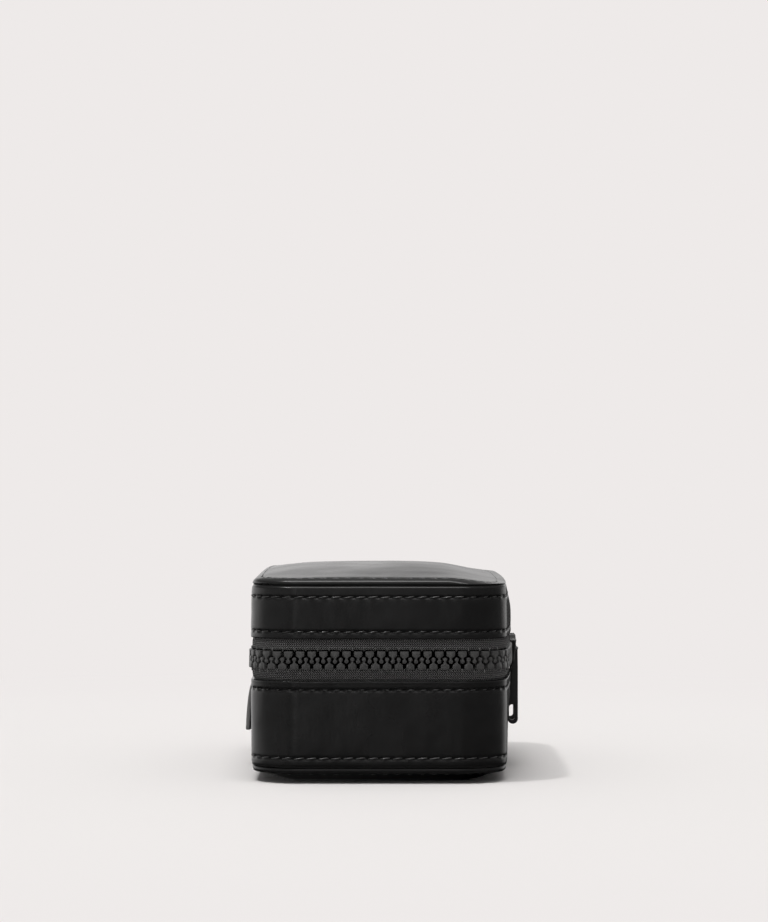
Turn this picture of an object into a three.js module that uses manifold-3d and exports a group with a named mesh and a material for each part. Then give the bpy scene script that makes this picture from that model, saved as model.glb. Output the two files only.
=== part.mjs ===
// A small zip-round leather jewellery case: a padded base and lid joined by a leather hinge at the back and
// closed by a moulded-tooth zip with two sliders that meet at the middle of the front.
// Millimetres. +X runs along the case, the front faces -Y, +Z is up, and the origin is the middle of the
// resting face.
import * as THREE from "three";
import { mergeVertices } from "three/addons/utils/BufferGeometryUtils.js";
import Module from "manifold-3d";

const wasm = await Module();
wasm.setup();

// ---- Driving dimensions ----
const HALF_LENGTH = 63.5; // middle to the outer face of either end
const HALF_WIDTH = 38.5; // middle to the outer face of the front and back, without the front's bow
const CORNER_RADIUS = 14;
const ZIP_BOW = 2.4; // how far the middle of the front stands out along the zip
const SEAM_BOW = 1.5; // and at the top and bottom seams
const GAP = 0.3; // between neighbouring pieces

const BOTTOM_SEAM_Z = 4.6;
const BASE_EDGE_Z = 31.0; // top edge of the base's leather
const ZIP_Z = 37.3; // middle of the closed chain, and height of the hinge line
const LID_EDGE_Z = 43.6; // bottom edge of the lid's leather
const TOP_SEAM_Z = 59.7;
const CROWN_Z = 65.0;

const LEATHER = 1.3;
const BOARD = 1.6;
const LINING = 0.8;
const BOARD_OFFSET = -2.5; // outer face of the wall boards, inward from the outer face of the leather
const LINING_OFFSET = BOARD_OFFSET - BOARD - GAP;
const INSIDE_OFFSET = LINING_OFFSET - LINING; // the lined inner wall

const FLOOR_BOARD_Z = BOTTOM_SEAM_Z + GAP;
const FLOOR_BOARD = 2.0;
const FLOOR_PAD_Z = FLOOR_BOARD_Z + FLOOR_BOARD + GAP;
const FLOOR_PAD = 2.0;
const FLOOR_TOP_Z = FLOOR_PAD_Z + FLOOR_PAD;
const BASE_WALL_TOP_Z = BASE_EDGE_Z - 0.6;

const TOP_BOARD = 1.5;
const TOP_BOARD_Z = TOP_SEAM_Z - GAP - TOP_BOARD;
const LID_WALL_BOTTOM_Z = LID_EDGE_Z + 0.6;
const LID_WALL_TOP_Z = TOP_BOARD_Z - GAP;
const LID_PAD = 1.7;
const LID_PAD_Z = LID_WALL_TOP_Z - LID_PAD;

// Zip. Heights below are from ZIP_Z, and offsets from the chain's middle plane.
const CHAIN_OFFSET = -0.2; // the chain's middle plane, from the outer face of the leather
const PITCH = 3.47;
const TOOTH_HALF_THICKNESS = 1.2;
const CHAIN_HALF_WIDTH = 2.95;
const TOOTH_TIP = 0.95; // how far a tooth reaches past the middle line
const TOOTH_FOOT = 1.1; // half the width of its foot
const TOOTH_HEAD = 0.45; // and of its head
const CORD = 0.5; // of the bead that joins the teeth of a row
const STOP_HALF_LENGTH = 1.5;
const STOP_CLEARANCE = 0.4; // from the middle line to either stop
const STOP_BACK = -1.4;
const TAPE = 0.6;
const TAPE_EDGE = CHAIN_HALF_WIDTH + GAP; // where the plain tape starts
const TAPE_FOLD = 5.7; // where it folds in under the leather
const TAPE_TUCK = 11.3; // where it ends behind the leather
const ZIP_END_X = 44; // the zip ends this far from the middle of the back
const HINGE = 0.6; // thickness of the hinge's leather and of its lining
const HINGE_HALF_LENGTH = ZIP_END_X - 4.5;
const HINGE_LINING_REACH = 6.3; // above and below the hinge line
const SPREAD = 1.75; // how far the sliders hold each row of teeth off the middle line
const SPREAD_LENGTH = 9;

// Sliders and pulls. u runs along the zip from the shoulder end, which faces the other slider.
const SLIDER_START = 0.5; // shoulder end, from the middle of the front
const SLIDER_LENGTH = 13.2;
const SHOULDER = 5.4; // half the width at the shoulders
const WAIST = 4.15; // half the width at the closed end
const SHOULDER_CORNER = 1.6; // radius of the shoulders' outer corners
const SHOULDER_END = 4.2; // where the shoulders start to narrow
const WAIST_START = 7.6; // and where they reach the waist
const WEDGE_START = 0.5;
const WEDGE_BLUNT = 1.6; // the wedge is full width up to here
const WEDGE_TIP = 2.9;
const WEDGE_HALF_WIDTH = 0.4;
const PLATE_INNER = 1.3;
const PLATE_OUTER = 1.75;
const FLANGE = 0.6;
const FLANGE_INNER = 0.65;
const BAR_CENTRE = 2.8; // middle of the bridge's bar, outward from the chain's middle plane
const BAR_HALF = 0.35;
const BAR_U = 6.7;
const BRIDGE_HALF_LENGTH = 4.4; // of the arch that carries the bar
const BRIDGE_LEG = 1.0;
const EYE_RADIUS = 0.55;
const EYE_OUTER = 0.9;
const PULL_HALF_THICKNESS = 0.8;
const PULL_END = -24.4; // bottom of the pull, below the bar
const PULL_OUTER = 0.5; // its straight outer edge, outward from the bar
const PULL_INNER_HIGH = -0.85; // its inner edge beside the bar
const PULL_INNER_LOW = -2.6; // and at its bottom
const PULL_RIM = 0.75; // around its slot
const PULL_SLOT = 4.6;

const TAB_HALF_WIDTH = 6;
const TAB = 1.4;
const TAB_TOP_Z = 30.4;
const TAB_SEWN_Z = 27.6;
const TAB_LENGTH = 16.4; // free part
const TAB_STAND_OFF = 1.75; // how far the free part hangs off the wall
const TAB_BEND = 2.6; // how gently it bends away from its seam
const TAB_TURN = THREE.MathUtils.degToRad(-7); // the free part is twisted a little

// ---- Materials ----
const standard = (color, roughness, metalness = 0) =>
  new THREE.MeshStandardMaterial({ color, roughness, metalness });
const leather = standard(0x1c1c1d, 0.55);
const foam = standard(0x3a3a3c, 0.95);
const board = standard(0x6b6257, 0.9);
const suede = standard(0x8d8378, 0.95);
const tapeCloth = standard(0x202022, 0.85);
const toothResin = standard(0x29292b, 0.45);
const zincBlack = standard(0x151417, 0.35, 0.8);
const steel = standard(0x1a1a1c, 0.3, 0.9);

const caseGroup = new THREE.Group();
caseGroup.name = "jewellery_case";

function addMesh(name, geometry, material, parent = caseGroup) {
  const mesh = new THREE.Mesh(geometry, material);
  mesh.name = name;
  parent.add(mesh);
  return mesh;
}

// ---- Plan of the case ----
// The outline seen from above, anticlockwise from the middle of the back: the corners are arcs, and the
// front is one long arc that touches both front corners and stands out by the bow in the middle.
const CORNER_X = HALF_LENGTH - CORNER_RADIUS;
const CORNER_Y = HALF_WIDTH - CORNER_RADIUS;

function frontArc(bow) {
  const reach = (CORNER_X ** 2 - bow ** 2) / (2 * bow);
  const angle = Math.asin(CORNER_X / (reach + bow));
  return { radius: reach + CORNER_RADIUS + bow, centreY: reach - CORNER_Y, angle };
}

const ZIP_ARC = frontArc(ZIP_BOW);

// The front stands out most along the zip, and less towards the seams.
function bowAt(z) {
  const rise = THREE.MathUtils.smoothstep(z, BOTTOM_SEAM_Z, BASE_EDGE_Z);
  const fall = THREE.MathUtils.smoothstep(z, LID_EDGE_Z, TOP_SEAM_Z);
  return SEAM_BOW + (ZIP_BOW - SEAM_BOW) * (rise - fall);
}

function outlineCurves(offset, z) {
  const r = CORNER_RADIUS + offset;
  const front = frontArc(bowAt(z));
  const quarter = Math.PI / 2;
  const path = new THREE.Path();
  path.moveTo(0, HALF_WIDTH + offset);
  path.lineTo(-CORNER_X, HALF_WIDTH + offset);
  path.absarc(-CORNER_X, CORNER_Y, r, quarter, quarter * 2, false);
  path.lineTo(-HALF_LENGTH - offset, -CORNER_Y);
  path.absarc(-CORNER_X, -CORNER_Y, r, quarter * 2, quarter * 3 - front.angle, false);
  const frontRadius = front.radius + offset;
  path.absarc(0, front.centreY, frontRadius, -quarter - front.angle, -quarter + front.angle, false);
  path.absarc(CORNER_X, -CORNER_Y, r, -quarter + front.angle, 0, false);
  path.lineTo(HALF_LENGTH + offset, CORNER_Y);
  path.absarc(CORNER_X, CORNER_Y, r, 0, quarter, false);
  path.lineTo(0, HALF_WIDTH + offset);
  return path.curves.filter((curve) => curve.getLength() > 0.01);
}

// Straight runs are not divided, corners are divided by five and the front by eight.
function stepsOf(curve) {
  if (curve.isLineCurve) return 1;
  return curve.xRadius > CORNER_RADIUS * 2 ? 8 : 5;
}

// The outline as a level ring of points, with the same count at every offset and height.
function ringAt(offset, z, scale = 1) {
  const points = [];
  for (const curve of outlineCurves(offset, z)) {
    const steps = stepsOf(curve);
    for (let i = 0; i < steps; i++) {
      const { x, y } = curve.getPoint(i / steps);
      points.push(new THREE.Vector3(x * scale, y * scale, z));
    }
  }
  return points;
}

// A flat plate with the case's outline.
const plate = (offset, z, thickness) => loft([ringAt(offset, z), ringAt(offset, z + thickness)]);

// A closed upright wall that follows the outline.
function wall(offset, thickness, z0, z1) {
  const levels = [z0, (z0 + z1) / 2, z1];
  const outer = levels.map((z) => ringAt(offset, z));
  const inner = levels.map((z) => ringAt(offset - thickness, z)).reverse();
  return loft([...outer, ...inner], true);
}

// ---- Solids from rings of points ----
// Joins rings that hold the same number of points. The ends are closed by fans, or the last ring joins the
// first.
function loft(rings, closed = false) {
  const count = rings[0].length;
  const vertices = rings.flat();
  const faces = [];
  const joins = closed ? rings.length : rings.length - 1;
  for (let i = 0; i < joins; i++) {
    const a = i * count;
    const b = ((i + 1) % rings.length) * count;
    for (let j = 0; j < count; j++) {
      const k = (j + 1) % count;
      faces.push(a + j, a + k, b + k, a + j, b + k, b + j);
    }
  }
  if (!closed) {
    const cap = (start, ring, flip) => {
      const flat = THREE.ShapeUtils.triangulateShape(ring.map(flatPoint(ring)), []);
      for (const [p, q, r] of flat) faces.push(start + p, start + (flip ? r : q), start + (flip ? q : r));
    };
    cap(0, rings[0], true);
    cap((rings.length - 1) * count, rings[rings.length - 1], false);
  }
  const geometry = new THREE.BufferGeometry().setFromPoints(vertices);
  geometry.setIndex(faces);
  return geometry;
}

// Gives a flat ring's points in its own plane, so that its cap can be triangulated.
function flatPoint(ring) {
  const normal = new THREE.Vector3();
  ring.forEach((p, i) => {
    const q = ring[(i + 1) % ring.length];
    normal.x += (p.y - q.y) * (p.z + q.z);
    normal.y += (p.z - q.z) * (p.x + q.x);
    normal.z += (p.x - q.x) * (p.y + q.y);
  });
  const axis = new THREE.Vector3(0, 0, 1);
  const turn = new THREE.Quaternion().setFromUnitVectors(normal.normalize(), axis);
  return (p) => {
    const q = p.clone().applyQuaternion(turn);
    return new THREE.Vector2(q.x, q.y);
  };
}

// ---- Booleans ----
function toManifold(geometry) {
  const bare = geometry.index ? geometry.toNonIndexed() : geometry.clone();
  bare.deleteAttribute("normal");
  bare.deleteAttribute("uv");
  const merged = mergeVertices(bare, 1e-4);
  return new wasm.Manifold(
    new wasm.Mesh({
      numProp: 3,
      vertProperties: new Float32Array(merged.attributes.position.array),
      triVerts: new Uint32Array(merged.index.array),
    }),
  );
}

function toGeometry(solid) {
  const { numProp, vertProperties, triVerts } = solid.getMesh();
  const positions = new Float32Array((vertProperties.length / numProp) * 3);
  for (let i = 0; i < positions.length / 3; i++)
    positions.set(vertProperties.subarray(i * numProp, i * numProp + 3), i * 3);
  const geometry = new THREE.BufferGeometry();
  geometry.setAttribute("position", new THREE.BufferAttribute(positions, 3));
  geometry.setIndex(new THREE.BufferAttribute(new Uint32Array(triVerts), 1));
  return geometry;
}

function union(geometries) {
  return toGeometry(geometries.map(toManifold).reduce((sum, solid) => sum.add(solid)));
}

const cut = (geometry, tool) => toGeometry(toManifold(geometry).subtract(toManifold(tool)));

// A block from two corners.
function block(x0, x1, y0, y1, z0, z1) {
  const geometry = new THREE.BoxGeometry(x1 - x0, y1 - y0, z1 - z0);
  return geometry.translate((x0 + x1) / 2, (y0 + y1) / 2, (z0 + z1) / 2);
}

// ---- Padded leather panels ----
// Each step of a pillow is [inset from the outline, height above the seam]; the steps after the insets
// scale inward.
const TOP_STEPS = [
  [0, 0],
  [-0.1, 0.8],
  [0.9, 1.5],
  [2.6, 1.8],
  [5, 2.5],
  [9, 3.6],
  [12.5, 4.3],
];
const TOP_CROWN = [
  [0.7, 4.8],
  [0.35, 5.1],
  [0.05, CROWN_Z - TOP_SEAM_Z],
];
const BOTTOM_STEPS = [
  [0, 0],
  [0.4, 1.0],
  [2.6, 2.1],
  [5, 3.2],
  [9, 4.2],
  [12, BOTTOM_SEAM_Z],
];
const BOTTOM_CROWN = [[0.6, BOTTOM_SEAM_Z]];
const TUCK_RINGS = 2; // a pillow's lowest rings move in by a skin's whole thickness, the rest by half

// Rings of a pillow, from its seam to its middle. shrink moves the surface inside by a skin's thickness.
function pillowRings(steps, crown, seamZ, direction, shrink) {
  const rings = steps.map(([inset, height], i) => {
    const inward = inset + (i < TUCK_RINGS ? shrink : shrink * 0.5);
    const rise = i === 0 ? height : Math.max(height - shrink, 0.02 * i);
    return ringAt(-inward, seamZ + direction * rise);
  });
  const last = steps[steps.length - 1][0] + shrink * 0.5;
  for (const [scale, height] of crown) {
    rings.push(ringAt(-last, seamZ + direction * (height - shrink), scale));
  }
  return rings;
}

function pillowSkin(steps, crown, seamZ, direction) {
  const outer = pillowRings(steps, crown, seamZ, direction, 0);
  const inner = pillowRings(steps, crown, seamZ, direction, LEATHER);
  const rings = [...inner.reverse(), ...outer];
  return direction > 0 ? loft(rings) : loft(rings.reverse());
}

function pillowCore(steps, crown, seamZ, direction) {
  const rings = pillowRings(steps, crown, seamZ, direction, LEATHER + GAP);
  return direction > 0 ? loft(rings) : loft(rings.reverse());
}

// ---- Zip ----
const zipCurves = outlineCurves(CHAIN_OFFSET, ZIP_Z);
const zipLengths = zipCurves.map((curve) => curve.getLength());
const zipLength = zipLengths.reduce((sum, length) => sum + length);
const zipReach = zipLength / 2 - ZIP_END_X; // from the middle of the front to either end, along the zip

// A station on the zip line, s millimetres from the middle of the front, with its outward direction.
function station(s) {
  let run = s + zipLength / 2;
  let i = 0;
  while (i < zipCurves.length - 1 && run > zipLengths[i]) {
    run -= zipLengths[i];
    i++;
  }
  const fraction = run / zipLengths[i];
  const along = zipCurves[i].getTangent(fraction);
  const out = new THREE.Vector3(along.y, -along.x, 0);
  return { s, curve: i, fraction, point: zipCurves[i].getPoint(fraction), along, out };
}

// How far a row of teeth is held off the middle line at s.
function spreadAt(s) {
  if (Math.abs(s) > SPREAD_LENGTH) return 0;
  return (SPREAD * (1 + Math.cos((Math.PI * s) / SPREAD_LENGTH))) / 2;
}

// Stations are close together on bends and near the sliders, and wide apart on straight runs.
function zipStations(reach) {
  const stops = [-reach, reach];
  let run = -zipLength / 2;
  zipCurves.forEach((curve, i) => {
    const steps = stepsOf(curve);
    for (let j = 0; j < steps; j++) stops.push(run + (zipLengths[i] * j) / steps);
    run += zipLengths[i];
  });
  for (let s = -SPREAD_LENGTH; s <= SPREAD_LENGTH; s += SPREAD_LENGTH / 4) stops.push(s);
  const sorted = stops.filter((s) => Math.abs(s) <= reach).sort((a, b) => a - b);
  return sorted.filter((s, i) => i === 0 || s - sorted[i - 1] > 0.05).map(station);
}

// Sweeps a section of [offset, height] points along the zip. side is 1 for the lid and -1 for the base.
function sweepZip(stations, sectionAt, side) {
  const rings = stations.map(({ s, curve, fraction }) =>
    sectionAt(s).map(([offset, height]) => {
      const z = ZIP_Z + side * height;
      const { x, y } = outlineCurves(CHAIN_OFFSET + offset, z)[curve].getPoint(fraction);
      return new THREE.Vector3(x, y, z);
    }),
  );
  return side > 0 ? loft(rings.map((ring) => ring.reverse())) : loft(rings);
}

// Stands a solid drawn with x along the zip and z outward on the zip line.
function seatOnZip(geometry, { point, along, out }) {
  const level = new THREE.Vector3(along.x, along.y, 0);
  const turn = new THREE.Matrix4().makeBasis(level, new THREE.Vector3(0, 0, 1), out);
  return geometry.applyMatrix4(turn).translate(point.x, point.y, ZIP_Z);
}

function tape(side) {
  const half = TAPE / 2;
  const tuckOut = -LEATHER - GAP - CHAIN_OFFSET;
  const tuckIn = tuckOut - TAPE;
  const leatherEdge = TAPE_FOLD + GAP;
  return sweepZip(
    zipStations(zipReach),
    (s) => {
      const edge = TAPE_EDGE + spreadAt(s);
      return [
        [tuckIn, TAPE_TUCK],
        [tuckIn, TAPE_FOLD],
        [-half, TAPE_FOLD],
        [-half, edge],
        [half, edge],
        [half, leatherEdge],
        [tuckOut, leatherEdge],
        [tuckOut, TAPE_TUCK],
      ];
    },
    side,
  );
}

// One tooth with its length of cord, as [along, height] points; the foot widens into the cord on either
// side.
const toothCell = (s) => [
  [s - PITCH / 2, -CHAIN_HALF_WIDTH],
  [s + PITCH / 2, -CHAIN_HALF_WIDTH],
  [s + PITCH / 2, -CHAIN_HALF_WIDTH + CORD],
  [s + TOOTH_FOOT, -CHAIN_HALF_WIDTH + CORD * 2],
  [s + TOOTH_HEAD, TOOTH_TIP],
  [s - TOOTH_HEAD, TOOTH_TIP],
  [s - TOOTH_FOOT, -CHAIN_HALF_WIDTH + CORD * 2],
  [s - PITCH / 2, -CHAIN_HALF_WIDTH + CORD],
];

// A row of teeth on its cord, one closed solid bent along the zip. side is 1 for the lid, whose teeth stand
// half a pitch along from the base's.
function chain(side) {
  const first = side > 0 ? PITCH / 2 : 0;
  const count = Math.floor((zipReach - first - PITCH / 2) / PITCH);
  const begin = side > 0 ? -count - 1 : -count;
  const points = [];
  const faces = [];
  for (let i = begin; i <= count; i++) {
    const cell = toothCell(first + i * PITCH);
    const n = cell.length;
    const start = points.length;
    for (const offset of [-TOOTH_HALF_THICKNESS, TOOTH_HALF_THICKNESS]) {
      for (const [s, height] of cell) {
        const { point, out } = station(s);
        const z = ZIP_Z - side * (height - spreadAt(s));
        points.push(new THREE.Vector3(point.x + out.x * offset, point.y + out.y * offset, z));
      }
    }
    const flat = cell.map(([s, height]) => new THREE.Vector2(s, height));
    for (const [p, q, r] of THREE.ShapeUtils.triangulateShape(flat, [])) {
      faces.push([start + n + p, start + n + q, start + n + r], [start + p, start + r, start + q]);
    }
    for (let j = 0; j < n; j++) {
      const shared = (j === 1 && i < count) || (j === n - 1 && i > begin);
      if (shared) continue;
      const a = start + j;
      const b = start + ((j + 1) % n);
      faces.push([a, b, b + n], [a, b + n, a + n]);
    }
  }
  const geometry = new THREE.BufferGeometry().setFromPoints(points);
  geometry.setIndex(faces.flatMap((face) => (side > 0 ? face.reverse() : face)));
  return geometry;
}

// The moulded stop that ends a row, at the back. It stays behind the hinge line, so that the lid's clears
// the base's.
function zipStop(end, side) {
  const heights = [side * STOP_CLEARANCE, side * CHAIN_HALF_WIDTH].sort((a, b) => a - b);
  const geometry = block(-STOP_HALF_LENGTH, STOP_HALF_LENGTH, ...heights, STOP_BACK, 0);
  return seatOnZip(geometry, station(end * (zipReach + STOP_HALF_LENGTH + GAP)));
}

// ---- Sliders ----
// Drawn with u along x, the width along y and outward along z, then stood up against the front.
function sliderOutline(shoulder, waist, start, end) {
  const corner = start + SHOULDER_CORNER;
  const ease = (SHOULDER_END + WAIST_START) / 2 + 0.5;
  const shape = new THREE.Shape();
  shape.moveTo(start, -shoulder + SHOULDER_CORNER);
  shape.quadraticCurveTo(start, -shoulder, corner, -shoulder);
  shape.lineTo(SHOULDER_END, -shoulder);
  shape.quadraticCurveTo(ease, -shoulder, WAIST_START, -waist);
  shape.lineTo(end, -waist);
  shape.lineTo(end, waist);
  shape.lineTo(WAIST_START, waist);
  shape.quadraticCurveTo(ease, shoulder, SHOULDER_END, shoulder);
  shape.lineTo(corner, shoulder);
  shape.quadraticCurveTo(start, shoulder, start, shoulder - SHOULDER_CORNER);
  return shape;
}

function extruded(shape, z0, z1, curveSegments = 4) {
  const settings = { depth: z1 - z0, bevelEnabled: false, curveSegments };
  return new THREE.ExtrudeGeometry(shape, settings).translate(0, 0, z0);
}

function sliderBody() {
  const outer = sliderOutline(SHOULDER, WAIST, 0, SLIDER_LENGTH);
  const frontPlate = extruded(outer, PLATE_INNER, PLATE_OUTER);
  const backPlate = extruded(outer, -PLATE_OUTER, -PLATE_INNER);
  const channel = sliderOutline(SHOULDER - FLANGE, WAIST - FLANGE, -2, SLIDER_LENGTH + 2);
  const lips = [1, -1].map((side) => {
    const z = [side * FLANGE_INNER, side * (PLATE_INNER + 0.1)].sort((a, b) => a - b);
    return cut(extruded(outer, z[0], z[1]), extruded(channel, -3, 3));
  });
  const tip = WEDGE_HALF_WIDTH / 4;
  const wedge = new THREE.Shape([
    new THREE.Vector2(WEDGE_START, -WEDGE_HALF_WIDTH),
    new THREE.Vector2(WEDGE_BLUNT, -WEDGE_HALF_WIDTH),
    new THREE.Vector2(WEDGE_TIP, -tip),
    new THREE.Vector2(WEDGE_TIP, tip),
    new THREE.Vector2(WEDGE_BLUNT, WEDGE_HALF_WIDTH),
    new THREE.Vector2(WEDGE_START, WEDGE_HALF_WIDTH),
  ]);
  return union([
    frontPlate,
    backPlate,
    ...lips,
    extruded(wedge, -PLATE_INNER - 0.1, PLATE_INNER + 0.1),
    sliderBridge(),
  ]);
}

// The arch that holds the pull: two legs and a bar, drawn from the side.
function sliderBridge() {
  const top = BAR_CENTRE + BAR_HALF;
  const under = BAR_CENTRE - BAR_HALF;
  const foot = PLATE_OUTER - 0.1;
  const outside = BRIDGE_HALF_LENGTH;
  const inside = BRIDGE_HALF_LENGTH - BRIDGE_LEG;
  const round = 1.8; // how far the corners of the arch are drawn in
  const side = new THREE.Shape();
  side.moveTo(BAR_U - outside, foot);
  side.quadraticCurveTo(BAR_U - outside, top, BAR_U - outside + round, top);
  side.lineTo(BAR_U + outside - round, top);
  side.quadraticCurveTo(BAR_U + outside, top, BAR_U + outside, foot);
  side.lineTo(BAR_U + inside, foot);
  side.quadraticCurveTo(BAR_U + inside, under, BAR_U + inside - round / 2, under);
  side.lineTo(BAR_U - inside + round / 2, under);
  side.quadraticCurveTo(BAR_U - inside, under, BAR_U - inside, foot);
  return extruded(side, -BAR_HALF, BAR_HALF).rotateX(Math.PI / 2);
}

// The pull hangs edge-on to the front: an eye round the bar, a slim body whose inner edge slopes in under
// the slider, and a slot near its round bottom. Drawn with x outward and y up from the bar.
function sliderPull() {
  const radius = (PULL_OUTER - PULL_INNER_LOW) / 2;
  const middle = (PULL_OUTER + PULL_INNER_LOW) / 2;
  const roundZ = PULL_END + radius;
  const body = new THREE.Shape();
  body.moveTo(PULL_INNER_HIGH, 0);
  body.lineTo(PULL_INNER_HIGH, -SHOULDER - GAP);
  body.lineTo(PULL_INNER_LOW, roundZ);
  body.absarc(middle, roundZ, radius, Math.PI, Math.PI * 2, false);
  body.lineTo(PULL_OUTER, 0);
  const slot = new THREE.Path();
  slot.absarc(middle, roundZ + PULL_SLOT - radius, radius - PULL_RIM, 0, Math.PI, false);
  slot.absarc(middle, roundZ, radius - PULL_RIM, Math.PI, Math.PI * 2, false);
  body.holes.push(slot);
  const eye = new THREE.Shape();
  eye.absarc(0, 0, EYE_OUTER, 0, Math.PI * 2, false);
  const solid = union([
    extruded(body, -PULL_HALF_THICKNESS, PULL_HALF_THICKNESS, 6),
    extruded(eye, -PULL_HALF_THICKNESS, PULL_HALF_THICKNESS, 10),
  ]);
  const bore = new THREE.Shape();
  bore.absarc(0, 0, EYE_RADIUS, 0, Math.PI * 2, false);
  return cut(solid, extruded(bore, -2, 2, 8));
}

// A slider and its pull, placed on the front arc. side is -1 for the left and 1 for the right.
function addSlider(side) {
  const label = side < 0 ? "left" : "right";
  const stand = new THREE.Group(); // turns about the centre of the front arc
  stand.position.set(0, ZIP_ARC.centreY, ZIP_Z);
  stand.rotation.z = (side * (SLIDER_START + SLIDER_LENGTH / 2)) / ZIP_ARC.radius;
  caseGroup.add(stand);
  const seat = new THREE.Group(); // u outward from the middle, width up, z out of the front
  seat.position.set(-side * (SLIDER_LENGTH / 2), -ZIP_ARC.radius - CHAIN_OFFSET, 0);
  seat.rotation.x = Math.PI / 2;
  seat.scale.x = side;
  stand.add(seat);
  addMesh(`slider_${label}`, sliderBody(), zincBlack, seat);
  const pull = addMesh(`slider_${label}_pull`, sliderPull(), zincBlack, seat);
  pull.rotation.y = -Math.PI / 2; // from its own drawing plane to the plane across the zip
  pull.position.set(BAR_U, 0, BAR_CENTRE);
}

// ---- Base ----
function addBase() {
  addMesh("base_bottom_leather", pillowSkin(BOTTOM_STEPS, BOTTOM_CROWN, BOTTOM_SEAM_Z, -1), leather);
  addMesh("base_bottom_foam", pillowCore(BOTTOM_STEPS, BOTTOM_CROWN, BOTTOM_SEAM_Z, -1), foam);
  addMesh("base_side_leather", wall(0, LEATHER, BOTTOM_SEAM_Z + GAP, BASE_EDGE_Z), leather);
  addMesh("base_floor_board", plate(-LEATHER - GAP, FLOOR_BOARD_Z, FLOOR_BOARD), board);
  addMesh("base_wall_board", wall(BOARD_OFFSET, BOARD, FLOOR_PAD_Z, BASE_WALL_TOP_Z), board);
  addMesh("base_wall_lining", wall(LINING_OFFSET, LINING, FLOOR_TOP_Z + GAP, BASE_WALL_TOP_Z), suede);
  addMesh("base_floor_pad", plate(LINING_OFFSET, FLOOR_PAD_Z, FLOOR_PAD), suede);
}

// ---- Lid ----
function addLid() {
  const lid = new THREE.Group();
  caseGroup.add(lid);
  addMesh("lid_top_leather", pillowSkin(TOP_STEPS, TOP_CROWN, TOP_SEAM_Z, 1), leather, lid);
  addMesh("lid_top_foam", pillowCore(TOP_STEPS, TOP_CROWN, TOP_SEAM_Z, 1), foam, lid);
  addMesh("lid_side_leather", wall(0, LEATHER, LID_EDGE_Z, TOP_SEAM_Z - GAP), leather, lid);
  addMesh("lid_top_board", plate(-LEATHER - GAP, TOP_BOARD_Z, TOP_BOARD), board, lid);
  addMesh("lid_wall_board", wall(BOARD_OFFSET, BOARD, LID_WALL_BOTTOM_Z, LID_WALL_TOP_Z), board, lid);
  addMesh("lid_wall_lining", wall(LINING_OFFSET, LINING, LID_WALL_BOTTOM_Z, LID_PAD_Z - GAP), suede, lid);
  addMesh("lid_top_pad", plate(LINING_OFFSET, LID_PAD_Z, LID_PAD), suede, lid);
}

// ---- Hinge ----
// The hinge leather shows between the two leather edges, and its long edges are tucked behind them.
function hingeStrip(offset, reach) {
  const y = HALF_WIDTH + offset;
  return block(-HINGE_HALF_LENGTH, HINGE_HALF_LENGTH, y - HINGE, y, ZIP_Z - reach, ZIP_Z + reach);
}

function addHinge() {
  addMesh("hinge_leather", hingeStrip(-LEATHER - GAP, TAPE_TUCK), leather);
  addMesh("hinge_lining", hingeStrip(LINING_OFFSET, HINGE_LINING_REACH), suede);
}

// ---- Grip tab on the back ----
function gripTab() {
  const sewn = block(-TAB_HALF_WIDTH, TAB_HALF_WIDTH, 0, TAB, 0, TAB_TOP_Z - TAB_SEWN_Z);
  const middle = new THREE.Vector2(0, TAB / 2);
  const corners = [
    [-TAB_HALF_WIDTH, 0],
    [TAB_HALF_WIDTH, 0],
    [TAB_HALF_WIDTH, TAB],
    [-TAB_HALF_WIDTH, TAB],
  ];
  const rings = [];
  const steps = 6;
  for (let i = 0; i <= steps; i++) {
    const down = (TAB_LENGTH * i) / steps;
    const standOff = TAB_STAND_OFF * (1 - Math.exp(-down / TAB_BEND));
    const turn = (TAB_TURN * i) / steps;
    rings.push(
      corners.map(([x, y]) => {
        const p = new THREE.Vector2(x, y).rotateAround(middle, turn);
        return new THREE.Vector3(p.x, p.y + standOff, -down);
      }),
    );
  }
  rings.unshift(rings[0].map((p) => p.clone().setZ(0.5)));
  const free = loft(rings.reverse());
  return union([sewn, free]).translate(0, HALF_WIDTH + GAP, TAB_SEWN_Z);
}

// ---- Inside of the base: ring rolls and dividers ----
const ROLL_COUNT = 4;
const ROLL_PITCH = 9.7;
const ROLL_HALF_WIDTH = 4.6;
const ROLL_HALF_LENGTH = 30.6;
const ROLL_HEIGHT = 14;
const ROLL_FIRST_X = -50;
const DIVIDER = 1.8;
const DIVIDER_TOP_Z = BASE_WALL_TOP_Z - 2.5; // so that the lid clears the dividers
const CROSS_DIVIDER_X = ROLL_FIRST_X + ROLL_PITCH * (ROLL_COUNT - 0.5) + DIVIDER / 2;
const SHORT_DIVIDER_X = 24;
const INSIDE_HALF_LENGTH = HALF_LENGTH + INSIDE_OFFSET;
const INSIDE_HALF_WIDTH = HALF_WIDTH + INSIDE_OFFSET;

// A padded roll with a round top, lying across the case.
function ringRoll(x) {
  const section = new THREE.Shape();
  const shoulder = ROLL_HEIGHT - ROLL_HALF_WIDTH;
  section.moveTo(-ROLL_HALF_WIDTH, 0);
  section.lineTo(ROLL_HALF_WIDTH, 0);
  section.lineTo(ROLL_HALF_WIDTH, shoulder);
  section.absarc(0, shoulder, ROLL_HALF_WIDTH, 0, Math.PI, false);
  const geometry = extruded(section, -ROLL_HALF_LENGTH, ROLL_HALF_LENGTH, 8);
  return geometry.rotateX(Math.PI / 2).translate(x, 0, FLOOR_TOP_Z + GAP);
}

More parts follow.
